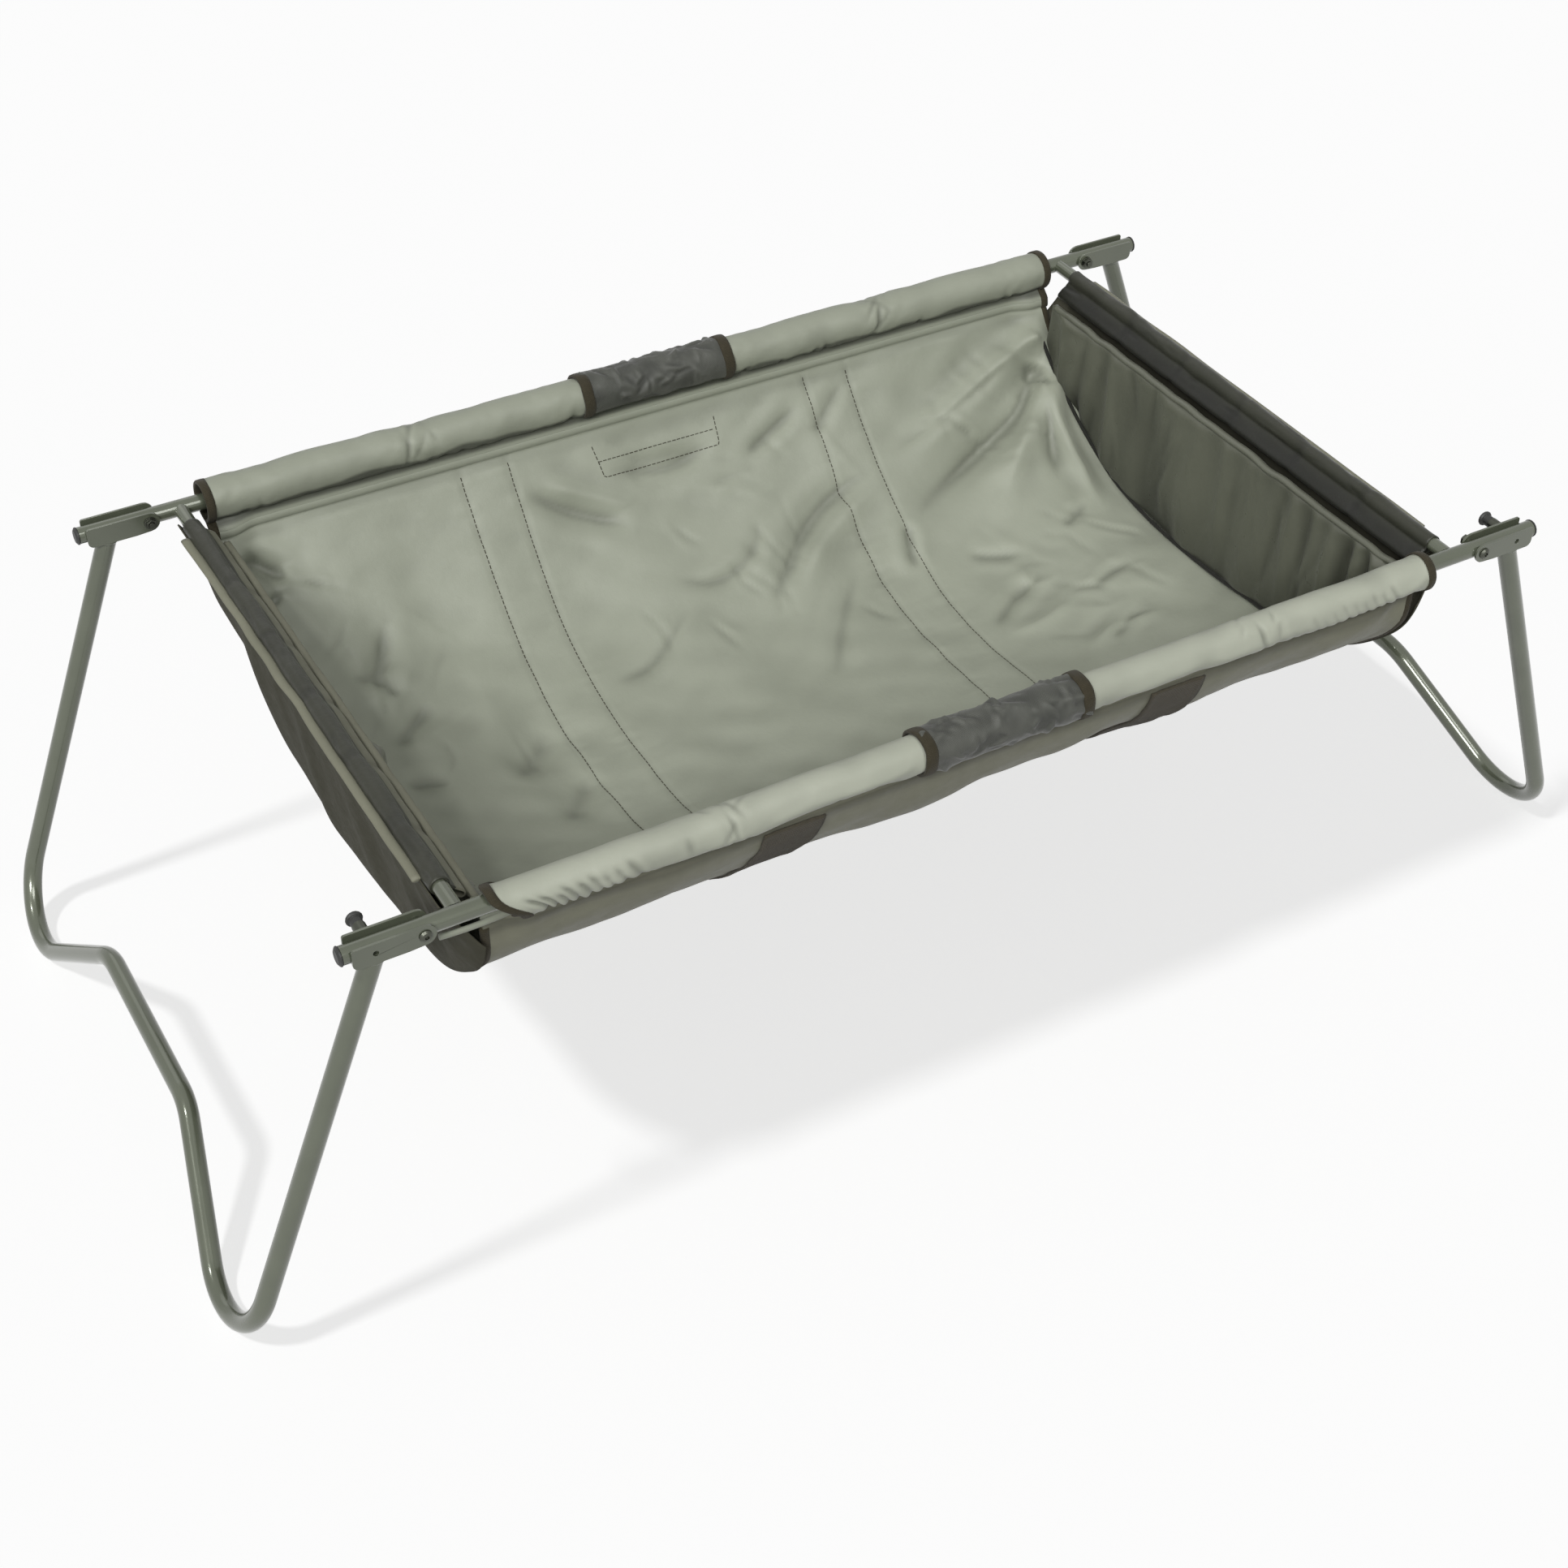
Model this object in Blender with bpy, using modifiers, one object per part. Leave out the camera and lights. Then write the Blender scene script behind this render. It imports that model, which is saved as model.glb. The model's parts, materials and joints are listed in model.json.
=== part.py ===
"""Folding fish cradle: a tube frame with a hung fabric trough and two folding leg frames.

Units are metres. +X runs along the rails, +Y points to the rear rail and +Z is up.
The origin lies on the floor, under the middle of the cradle.
"""
import math

import bmesh
import bpy
from mathutils import Matrix, Vector

OBJECT_NAME = "fish_cradle"

# Clearances
SEAT_GAP = 0.0003
SIDE_GAP = 0.0004
HOLE_GAP = 0.0002
CUT_MARGIN = 0.004

# Rails and crossbars
RAIL_LENGTH = 1.049
RAIL_SPACING = 0.562
RAIL_HEIGHT = 0.362
RAIL_D = 0.014
RAIL_WALL = 0.0015
CROSSBAR_D = 0.012
CROSSBAR_WALL = 0.0015
CROSSBAR_INSET = 0.0855
PLUG_HEAD = 0.003
PLUG_HEAD_D = 0.015
PLUG_STEM = 0.010

# Pivots: inset of the bolt from the rail end, bolt, bush and nut
PIVOT_INSET = 0.0575
BOLT_D = 0.005
BOLT_HEAD_D = 0.0096
BOLT_HEAD_H = 0.0026
BOLT_SOCKET_D = 0.0034
BOLT_SOCKET_DEPTH = 0.0014
BOLT_TAIL = 0.001
BUSH_D = 0.0075
NUT_ACROSS_FLATS = 0.008
NUT_H = 0.0045
NUT_FLANGE_D = 0.0108
NUT_FLANGE_H = 0.0011

# Leg channels, measured from the pivot
CHANNEL_SHEET = 0.002
CHANNEL_RISE = 0.0085
CHANNEL_END = 0.0525
CHANNEL_LOWER_R = 0.005
CHANNEL_UPPER_R = 0.002
WEB_START = 0.012

# Leg tubes
LEG_D = 0.016
LEG_WALL = 0.0015
LEG_SPLAY = math.radians(21.0)
LEG_OFFSET = 0.0312
FOOT_BEND_R = 0.055
RAISED_BEND_R = 0.048
RAISED_HEIGHT = 0.0858
DIAGONAL_ANGLE = math.radians(36.0)
FOOT_FLAT = 0.0006

# Pull locks on the front channels
LOCK_OFFSET = 0.0356
LOCK_STROKE = 0.004
PIN_D = 0.004
PIN_BITE = 0.0025
PIN_COLLAR_D = 0.0066
PIN_COLLAR_H = 0.0015
BARREL_D = 0.010
BARREL_WALL = 0.0014
BARREL_LENGTH = 0.0115
BARREL_LIP = 0.0015
SPRING_WIRE_D = 0.0006
SPRING_TURNS = 4
KNOB_D = 0.013
KNOB_H = 0.0095
KNOB_NECK_D = 0.0092
KNOB_EDGE_R = 0.002
KNOB_SOCKET = 0.0055

# Rail sleeves: foam round the rail, and a cover with a tail that the mat is sewn to
SLEEVE_INSET = 0.1045
FOAM_T = 0.008
FOAM_INSET = 0.016
SLEEVE_T = 0.0016
TAIL_REACH = 0.0314
TAIL_ANGLE = math.radians(26.7)
TAIL_R = 0.0016
SLEEVE_PINCH = 0.0011
SLEEVE_PINCH_X = 0.235
SLEEVE_PINCH_WIDTH = 0.035

# Grips wrapped on the sleeves
GRIP_LENGTH = 0.145
GRIP_T = 0.002
GRIP_OPENING = math.radians(62.0)

# Covers round the crossbars
COVER_END_INSET = 0.031
COVER_T = 0.0017
COVER_TAIL_R = 0.0055
COVER_TAIL_REACH = 0.024
COVER_TAIL_ANGLE = math.radians(48.6)
COVER_PINCH = 0.0008
COVER_PINCH_PITCH = 0.166

# Mat: a trough hung between the sleeve tails
MAT_T = 0.005
MAT_INSET = 0.002
MAT_DEPTH = 0.187
MAT_END_DEPTH = 0.157
MAT_LEVEL_HALF = 0.200
MAT_END_FLAT = 0.020
MAT_ROUNDNESS = 2.1

# Straps sewn under the mat, and padded panels that close its ends
STRAP_X = 0.172
STRAP_WIDTH = 0.050
STRAP_T = 0.0016
PANEL_T = 0.014
PANEL_EDGE_SHARE = 0.43
PANEL_TOP_INSET = 0.0245
PANEL_TOP_DROP = 0.021
PANEL_FOOT_INSET = 0.028
PANEL_FOOT_GAP = 0.0007

# Facets
ROUND_SIDES = 24
SMALL_SIDES = 16
LEG_SIDES_RESOLUTION = 6
LEG_BORE_RESOLUTION = 3
FOOT_BEND_STEPS = 7
RAISED_BEND_STEPS = 4
ARC_STEPS = 16
CORNER_STEPS = 4
MAT_ARC_SEGMENTS = 16
PANEL_ROWS = 5
SPRING_POINTS_PER_TURN = 9

# Worked out from the sizes above
RAIL_R = RAIL_D / 2
RAIL_Y = RAIL_SPACING / 2
RAIL_HALF = RAIL_LENGTH / 2
PIVOT_X = RAIL_HALF - PIVOT_INSET
CROSSBAR_X = RAIL_HALF - CROSSBAR_INSET
SLEEVE_HALF = RAIL_HALF - SLEEVE_INSET
MAT_HALF = SLEEVE_HALF - MAT_INSET
CHANNEL_INNER = RAIL_R + SIDE_GAP
CHANNEL_OUTER = CHANNEL_INNER + CHANNEL_SHEET
CHANNEL_FLOOR = RAIL_R + SEAT_GAP + CHANNEL_SHEET
FOAM_R = RAIL_R + SEAT_GAP + FOAM_T
SLEEVE_R = FOAM_R + SEAT_GAP + SLEEVE_T
COVER_R = CROSSBAR_D / 2 + SEAT_GAP + COVER_T
COVER_HALF = RAIL_Y - COVER_END_INSET
SEAM_INSET = TAIL_REACH * math.sin(TAIL_ANGLE)
SEAM_DROP = TAIL_REACH * math.cos(TAIL_ANGLE) + TAIL_R + SEAT_GAP
MAT_EDGE_Y = RAIL_Y - SEAM_INSET - MAT_T / 2

# Main folds of the mat: start, end, half width and height of each
FOLDS = (
    (Vector((0.375, 0.235)), Vector((0.255, 0.060)), 0.030, 0.007),
    (Vector((0.345, 0.070)), Vector((0.300, -0.110)), 0.026, 0.005),
    (Vector((0.110, 0.130)), Vector((0.060, -0.040)), 0.030, 0.006),
    (Vector((-0.300, 0.060)), Vector((-0.345, -0.050)), 0.034, -0.006),
    (Vector((-0.060, 0.165)), Vector((0.090, 0.200)), 0.028, 0.004),
)
FOLD_FADE = 0.090


def clear_scene():
    """Remove every object that the scene starts with."""
    for piece in list(bpy.data.objects):
        bpy.data.objects.remove(piece, do_unlink=True)


def new_collection(name):
    """Add a collection to the scene."""
    collection = bpy.data.collections.new(name)
    bpy.context.scene.collection.children.link(collection)
    return collection


def new_material(name, colour, roughness, metallic=0.0):
    """Make a Principled material of one colour."""
    material = bpy.data.materials.new(name)
    material.use_nodes = True
    shader = material.node_tree.nodes["Principled BSDF"]
    shader.inputs["Base Color"].default_value = (*colour, 1.0)
    shader.inputs["Roughness"].default_value = roughness
    shader.inputs["Metallic"].default_value = metallic
    material.diffuse_color = (*colour, 1.0)
    return material


class Workshop:
    """Holds the two collections and the materials, and adds objects to them."""

    def __init__(self):
        self.parts = new_collection(OBJECT_NAME)
        self.cutters = new_collection(OBJECT_NAME + "_cutters")
        self.paint = new_material("green_grey_paint", (0.115, 0.127, 0.091), 0.32, 0.35)
        self.zinc = new_material("dark_zinc", (0.060, 0.062, 0.060), 0.38, 0.90)
        self.spring_steel = new_material("spring_steel", (0.42, 0.42, 0.42), 0.30, 1.0)
        self.nylon = new_material("black_nylon", (0.022, 0.023, 0.022), 0.50)
        self.foam = new_material("grey_foam", (0.10, 0.10, 0.10), 0.95)
        self.cloth = new_material("sage_cloth", (0.255, 0.275, 0.208), 0.72)
        self.dark_cloth = new_material("olive_cloth", (0.105, 0.108, 0.078), 0.68)
        self.webbing = new_material("brown_webbing", (0.060, 0.050, 0.034), 0.85)
        self.wrap = new_material("charcoal_wrap", (0.060, 0.061, 0.060), 0.80)

    def add(self, name, data, material, parent=None, place=(0, 0, 0), turn=(0, 0, 0)):
        """Add one named piece to the model."""
        piece = bpy.data.objects.new(name, data)
        self.parts.objects.link(piece)
        data.materials.append(material)
        set_place(piece, parent, place, turn)
        return piece

    def add_cutter(self, name, data, parent=None, place=(0, 0, 0), turn=(0, 0, 0)):
        """Add one cutter, which is left out of the model."""
        piece = bpy.data.objects.new(name + "_cutter", data)
        self.cutters.objects.link(piece)
        piece.display_type = "WIRE"
        piece.hide_render = True
        set_place(piece, parent, place, turn)
        return piece

    def add_empty(self, name, place, turn=(0, 0, 0), parent=None):
        """Add an empty on a joint's axis, for moving pieces to hang from."""
        empty = bpy.data.objects.new(name, None)
        empty.empty_display_size = 0.02
        self.parts.objects.link(empty)
        set_place(empty, parent, place, turn)
        return empty


def set_place(piece, parent, place, turn):
    """Put an object at its place, under its parent."""
    piece.parent = parent
    piece.location = place
    piece.rotation_euler = turn


def mesh_from_bmesh(name, bm, smooth_angle=None):
    """Turn a bmesh into a mesh with outward faces."""
    bmesh.ops.recalc_face_normals(bm, faces=bm.faces)
    mesh = bpy.data.meshes.new(name)
    bm.to_mesh(mesh)
    bm.free()
    if smooth_angle is not None:
        mesh.shade_smooth()
        mesh.set_sharp_from_angle(angle=math.radians(smooth_angle))
    return mesh


def cylinder_mesh(name, radius, length, axis, sides=ROUND_SIDES):
    """A closed cylinder about its own middle, along X, Y or Z."""
    turn = {"X": Matrix.Rotation(math.pi / 2, 4, "Y"),
            "Y": Matrix.Rotation(math.pi / 2, 4, "X"),
            "Z": Matrix.Identity(4)}[axis]
    bm = bmesh.new()
    bmesh.ops.create_cone(bm, cap_ends=True, segments=sides, radius1=radius, radius2=radius,
                          depth=length, matrix=turn)
    return mesh_from_bmesh(name, bm, 40)


def box_mesh(name, low, high):
    """A closed box between two corners."""
    size = Vector(high) - Vector(low)
    middle = (Vector(high) + Vector(low)) / 2
    bm = bmesh.new()
    bmesh.ops.create_cube(bm, size=1.0, matrix=Matrix.Translation(middle) @ Matrix.Diagonal((*size, 1.0)))
    return mesh_from_bmesh(name, bm)


def turned_mesh(name, profile, sides):
    """A closed turned solid about Z from a profile of (radius, height) points, top to bottom.

    A profile that starts and ends on the axis gives a solid piece. One that stays off the axis
    is closed into a ring.
    """
    bm = bmesh.new()
    points = [bm.verts.new((radius, 0, height)) for radius, height in profile]
    edges = [bm.edges.new(pair) for pair in zip(points, points[1:])]
    if profile[0][0] > 0:
        edges.append(bm.edges.new((points[-1], points[0])))
    bmesh.ops.spin(bm, geom=points + edges, cent=(0, 0, 0), axis=(0, 0, 1), angle=2 * math.pi,
                   steps=sides, use_merge=True)
    bmesh.ops.remove_doubles(bm, verts=bm.verts, dist=0.00001)
    return mesh_from_bmesh(name, bm, 40)


def facing(direction):
    """The turn that points an object's Z along a direction."""
    return Vector((0, 0, 1)).rotation_difference(Vector(direction)).to_euler()


def tube_mesh(name, path, radius, resolution):
    """A closed round bar along a path, as a welded mesh."""
    curve = bpy.data.curves.new(name, "CURVE")
    curve.dimensions = "3D"
    curve.bevel_depth = radius
    curve.bevel_resolution = resolution
    curve.use_fill_caps = True
    spline = curve.splines.new("POLY")
    spline.points.add(len(path) - 1)
    for point, place in zip(spline.points, path):
        point.co = (*place, 1.0)
    return welded_mesh(name, curve)


def outline_mesh(name, outline, half_thickness):
    """A flat outline in XY given thickness along Z, as a welded mesh."""
    curve = bpy.data.curves.new(name, "CURVE")
    curve.dimensions = "2D"
    curve.fill_mode = "BOTH"
    curve.extrude = half_thickness
    spline = curve.splines.new("POLY")
    spline.points.add(len(outline) - 1)
    for point, place in zip(spline.points, outline):
        point.co = (place[0], place[1], 0.0, 1.0)
    spline.use_cyclic_u = True
    return welded_mesh(name, curve)


def welded_mesh(name, curve):
    """The mesh of a curve, with its loose caps welded on."""
    guide = bpy.data.objects.new(name + "_guide", curve)
    bpy.context.scene.collection.objects.link(guide)
    graph = bpy.context.evaluated_depsgraph_get()
    mesh = bpy.data.meshes.new_from_object(guide.evaluated_get(graph))
    bpy.data.objects.remove(guide, do_unlink=True)
    bm = bmesh.new()
    bm.from_mesh(mesh)
    bpy.data.meshes.remove(mesh)
    bmesh.ops.remove_doubles(bm, verts=bm.verts, dist=0.00001)
    return mesh_from_bmesh(name, bm, 40)


def skin_rings(name, rings):
    """A closed solid through rings of points, where the last ring joins the first one again."""
    bm = bmesh.new()
    loops = [[bm.verts.new(point) for point in ring] for ring in rings]
    count = len(rings[0])
    for here, there in zip(loops, loops[1:] + loops[:1]):
        for i in range(count):
            j = (i + 1) % count
            bm.faces.new((here[i], here[j], there[j], there[i]))
    return mesh_from_bmesh(name, bm, 50)


def cut(piece, cutter, operation="DIFFERENCE"):
    """Cut a piece with a cutter, or join the two."""
    modifier = piece.modifiers.new(cutter.name, "BOOLEAN")
    modifier.operation = operation
    modifier.object = cutter


def arc(centre, radius, start, end, steps):
    """Points along an arc in a plane, from one angle to another."""
    return [(centre[0] + radius * math.cos(start + (end - start) * i / steps),
             centre[1] + radius * math.sin(start + (end - start) * i / steps)) for i in range(steps + 1)]


def rounded_path(corners, bends):
    """Points along straight runs whose inner corners are rounded by bends of (radius, steps)."""
    points = [corners[0]]
    for before, corner, after, (radius, steps) in zip(corners, corners[1:], corners[2:], bends):
        back = (before - corner).normalized()
        ahead = (after - corner).normalized()
        half = back.angle(ahead) / 2
        centre = corner + (back + ahead).normalized() * (radius / math.sin(half))
        start = corner + back * (radius / math.tan(half)) - centre
        axis = start.cross(corner - centre).normalized()
        sweep = math.pi - 2 * half
        points += [centre + Matrix.Rotation(sweep * i / steps, 3, axis) @ start for i in range(steps + 1)]
    points.append(corners[-1])
    return points


def smooth_step(value):
    """Ease from 0 to 1."""
    value = min(max(value, 0.0), 1.0)
    return value * value * (3 - 2 * value)


# Frame

def build_rail(shop, name, side, locked):
    """One rail, with its bore, pivot holes and, on the front rail, lock holes."""
    place = (0, side * RAIL_Y, RAIL_HEIGHT)
    rail = shop.add(name, cylinder_mesh(name, RAIL_R, RAIL_LENGTH, "X"), shop.paint, place=place)
    bore = cylinder_mesh(name + "_bore", RAIL_R - RAIL_WALL, RAIL_LENGTH + 2 * CUT_MARGIN, "X", SMALL_SIDES)
    cut(rail, shop.add_cutter(name + "_bore", bore, place=place))
    through = RAIL_D + 2 * CUT_MARGIN
    for end, word in ((-1, "left"), (1, "right")):
        label = f"{name}_{word}_pivot_hole"
        hole = cylinder_mesh(label, BUSH_D / 2 + HOLE_GAP, through, "Y", SMALL_SIDES)
        cut(rail, shop.add_cutter(label, hole, place=(end * PIVOT_X, place[1], RAIL_HEIGHT)))
        if locked:
            cut_lock_hole(shop, rail, f"{name}_{word}_lock_hole", end, side)


def cut_lock_hole(shop, rail, label, end, side):
    """Drill the rail for a lock pin, and let the pin swing out below on the mat's side."""
    lock_x = end * (PIVOT_X + LOCK_OFFSET)
    rail_y = side * RAIL_Y
    radius = PIN_D / 2 + HOLE_GAP
    hole = cylinder_mesh(label, radius, RAIL_D + 2 * CUT_MARGIN, "Y", SMALL_SIDES)
    cut(rail, shop.add_cutter(label, hole, place=(lock_x, rail_y, RAIL_HEIGHT)))
    drop = RAIL_R + PIN_D
    swing = LOCK_OFFSET - math.sqrt(LOCK_OFFSET ** 2 - drop ** 2)
    wide = radius + SEAT_GAP
    inner = sorted((lock_x - end * (wide + swing), lock_x + end * wide))
    reach = sorted((rail_y - side * (RAIL_R - PIN_BITE - SEAT_GAP), rail_y - side * (RAIL_R + CUT_MARGIN)))
    slot = box_mesh(label + "_slot", (inner[0], reach[0], RAIL_HEIGHT - drop),
                    (inner[1], reach[1], RAIL_HEIGHT + SEAT_GAP))
    cut(rail, shop.add_cutter(label + "_slot", slot))


def build_crossbar(shop, name, end):
    """One crossbar, with its bore and with ends coped to the rails."""
    place = (end * CROSSBAR_X, 0, RAIL_HEIGHT)
    bar = shop.add(name, cylinder_mesh(name, CROSSBAR_D / 2, RAIL_SPACING, "Y"), shop.paint, place=place)
    bore = cylinder_mesh(name + "_bore", CROSSBAR_D / 2 - CROSSBAR_WALL, RAIL_SPACING + 2 * CUT_MARGIN,
                         "Y", SMALL_SIDES)
    cut(bar, shop.add_cutter(name + "_bore", bore, place=place))
    for side, word in ((-1, "front"), (1, "rear")):
        label = f"{name}_{word}_cope"
        cope = cylinder_mesh(label, RAIL_R + SEAT_GAP, CROSSBAR_D + 2 * CUT_MARGIN, "X")
        cut(bar, shop.add_cutter(label, cope, place=(place[0], side * RAIL_Y, RAIL_HEIGHT)))


def build_end_plug(shop, name, end, side):
    """A plastic plug with a domed head in a rail end."""
    head = PLUG_HEAD_D / 2
    stem = RAIL_R - RAIL_WALL - SEAT_GAP
    profile = [(0, PLUG_HEAD), (head * 0.7, PLUG_HEAD), (head, PLUG_HEAD * 0.5), (head, SEAT_GAP),
               (stem, SEAT_GAP), (stem, -PLUG_STEM), (0, -PLUG_STEM)]
    shop.add(name, turned_mesh(name, profile, SMALL_SIDES), shop.nylon,
             place=(end * RAIL_HALF, side * RAIL_Y, RAIL_HEIGHT), turn=facing((end, 0, 0)))


def build_pivot_bush(shop, name, end, side):
    """The spacer through a rail on which the leg turns."""
    outer = BUSH_D / 2
    bore = BOLT_D / 2 + HOLE_GAP
    half = CHANNEL_INNER - SEAT_GAP
    profile = [(bore, half), (outer, half), (outer, -half), (bore, -half)]
    shop.add(name, turned_mesh(name, profile, SMALL_SIDES), shop.zinc,
             place=(end * PIVOT_X, side * RAIL_Y, RAIL_HEIGHT), turn=facing((0, 1, 0)))


# Leg frames, built about their own pivot with +X outboard

def leg_point(depth, across):
    """A point of the leg's plane, by its depth along the leg and its place across it."""
    return Vector((LEG_OFFSET + depth * math.sin(LEG_SPLAY), across, -depth * math.cos(LEG_SPLAY)))


def leg_path():
    """The centre line of a leg tube, from one top to the other."""
    lowest = (RAIL_HEIGHT - LEG_D / 2 + FOOT_FLAT) / math.cos(LEG_SPLAY)
    turn = math.pi / 2 + DIAGONAL_ANGLE
    foot = lowest + FOOT_BEND_R * (math.tan(turn / 2) - 1)
    raised = (RAIL_HEIGHT - RAISED_HEIGHT) / math.cos(LEG_SPLAY)
    raised_y = RAIL_Y - (foot - raised) / math.tan(DIAGONAL_ANGLE)
    corners = [leg_point(0, -RAIL_Y), leg_point(foot, -RAIL_Y), leg_point(raised, -raised_y),
               leg_point(raised, raised_y), leg_point(foot, RAIL_Y), leg_point(0, RAIL_Y)]
    foot_bend = (FOOT_BEND_R, FOOT_BEND_STEPS)
    raised_bend = (RAISED_BEND_R, RAISED_BEND_STEPS)
    return rounded_path(corners, [foot_bend, raised_bend, raised_bend, foot_bend])


def build_leg_tube(shop, name, leg):
    """A bent leg tube, open at its tops, with small worn flats under its feet."""
    path = leg_path()
    tube = shop.add(name, tube_mesh(name, path, LEG_D / 2, LEG_SIDES_RESOLUTION), shop.paint, leg)
    bore = tube_mesh(name + "_bore", path, LEG_D / 2 - LEG_WALL, LEG_BORE_RESOLUTION)
    cut(tube, shop.add_cutter(name + "_bore", bore, leg))
    reach = RAIL_HEIGHT + LEG_OFFSET
    wide = RAIL_Y + LEG_D
    top = box_mesh(name + "_mitre", (-reach, -wide, -CHANNEL_FLOOR - SEAT_GAP), (reach, wide, reach))
    cut(tube, shop.add_cutter(name + "_mitre", top, leg))
    floor = box_mesh(name + "_floor", (-reach, -wide, -RAIL_HEIGHT - LEG_D), (reach, wide, -RAIL_HEIGHT))
    cut(tube, shop.add_cutter(name + "_floor", floor, leg))


def channel_outline():
    """Side view of a channel's walls: round about the pivot, with rounded outer corners."""
    lower = (CHANNEL_END - CHANNEL_LOWER_R, -CHANNEL_FLOOR + CHANNEL_LOWER_R)
    upper = (CHANNEL_END - CHANNEL_UPPER_R, CHANNEL_RISE - CHANNEL_UPPER_R)
    return (arc((0, 0), CHANNEL_RISE, math.pi / 2, 3 * math.pi / 2, 2 * CORNER_STEPS)
            + [(WEB_START, -CHANNEL_FLOOR)]
            + arc(lower, CHANNEL_LOWER_R, -math.pi / 2, 0, CORNER_STEPS)
            + arc(upper, CHANNEL_UPPER_R, 0, math.pi / 2, CORNER_STEPS))


def build_channel(shop, name, leg, side, locked):
    """A U channel that straddles a rail, with its holes."""
    place = (0, side * RAIL_Y, 0)
    stand = (math.pi / 2, 0, 0)
    channel = shop.add(name, outline_mesh(name, channel_outline(), CHANNEL_OUTER), shop.paint, leg, place, stand)
    far = CHANNEL_END + CUT_MARGIN
    slot = box_mesh(name + "_slot", (-far, -CHANNEL_INNER, -RAIL_R - SEAT_GAP), (far, CHANNEL_INNER, far))
    cut(channel, shop.add_cutter(name + "_slot", slot, leg, place))
    nose = box_mesh(name + "_nose", (-far, -CHANNEL_INNER, -far), (WEB_START, CHANNEL_INNER, 0))
    cut(channel, shop.add_cutter(name + "_nose", nose, leg, place))
    through = 2 * (CHANNEL_OUTER + CUT_MARGIN)
    hole = cylinder_mesh(name + "_pivot", BOLT_D / 2 + HOLE_GAP, through, "Y", SMALL_SIDES)
    cut(channel, shop.add_cutter(name + "_pivot", hole, leg, place))
    if locked:
        lock = cylinder_mesh(name + "_lock", PIN_D / 2 + HOLE_GAP, through, "Y", SMALL_SIDES)
        cut(channel, shop.add_cutter(name + "_lock", lock, leg, (LOCK_OFFSET, place[1], 0)))


def build_pivot_bolt(shop, name, leg, side):
    """A button-head bolt through a channel, with its head outside."""
    seat = CHANNEL_OUTER + SEAT_GAP
    top = seat + BOLT_HEAD_H
    head = BOLT_HEAD_D / 2
    socket = BOLT_SOCKET_D / 2
    tail = seat + SEAT_GAP + NUT_H + BOLT_TAIL
    profile = [(0, top - BOLT_SOCKET_DEPTH), (socket, top - BOLT_SOCKET_DEPTH), (socket, top),
               (head * 0.72, seat + BOLT_HEAD_H * 0.78), (head, seat + BOLT_HEAD_H * 0.25), (head, seat),
               (BOLT_D / 2, seat), (BOLT_D / 2, -tail), (0, -tail)]
    shop.add(name, turned_mesh(name, profile, SMALL_SIDES), shop.zinc, leg,
             (0, side * RAIL_Y, 0), facing((0, side, 0)))


def build_pivot_nut(shop, name, leg, side):
    """A flanged nut on a pivot bolt, on the mat's side of the channel."""
    inward = (0, -side, 0)
    seat = CHANNEL_OUTER + SEAT_GAP
    place = Vector((0, side * (RAIL_Y - seat), 0))
    hexagon = cylinder_mesh(name, NUT_ACROSS_FLATS / 2 / math.cos(math.pi / 6), NUT_H, "Z", 6)
    middle = place + Vector(inward) * NUT_H / 2
    nut = shop.add(name, hexagon, shop.zinc, leg, middle, facing(inward))
    flange = cylinder_mesh(name + "_flange", NUT_FLANGE_D / 2, NUT_FLANGE_H, "Z", SMALL_SIDES)
    cut(nut, shop.add_cutter(name + "_flange", flange, leg, place + Vector(inward) * NUT_FLANGE_H / 2,
                             facing(inward)), "UNION")
    hole = cylinder_mesh(name + "_hole", BOLT_D / 2 + HOLE_GAP, NUT_H + 2 * CUT_MARGIN, "Z", SMALL_SIDES)
    cut(nut, shop.add_cutter(name + "_hole", hole, leg, middle, facing(inward)))


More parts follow.
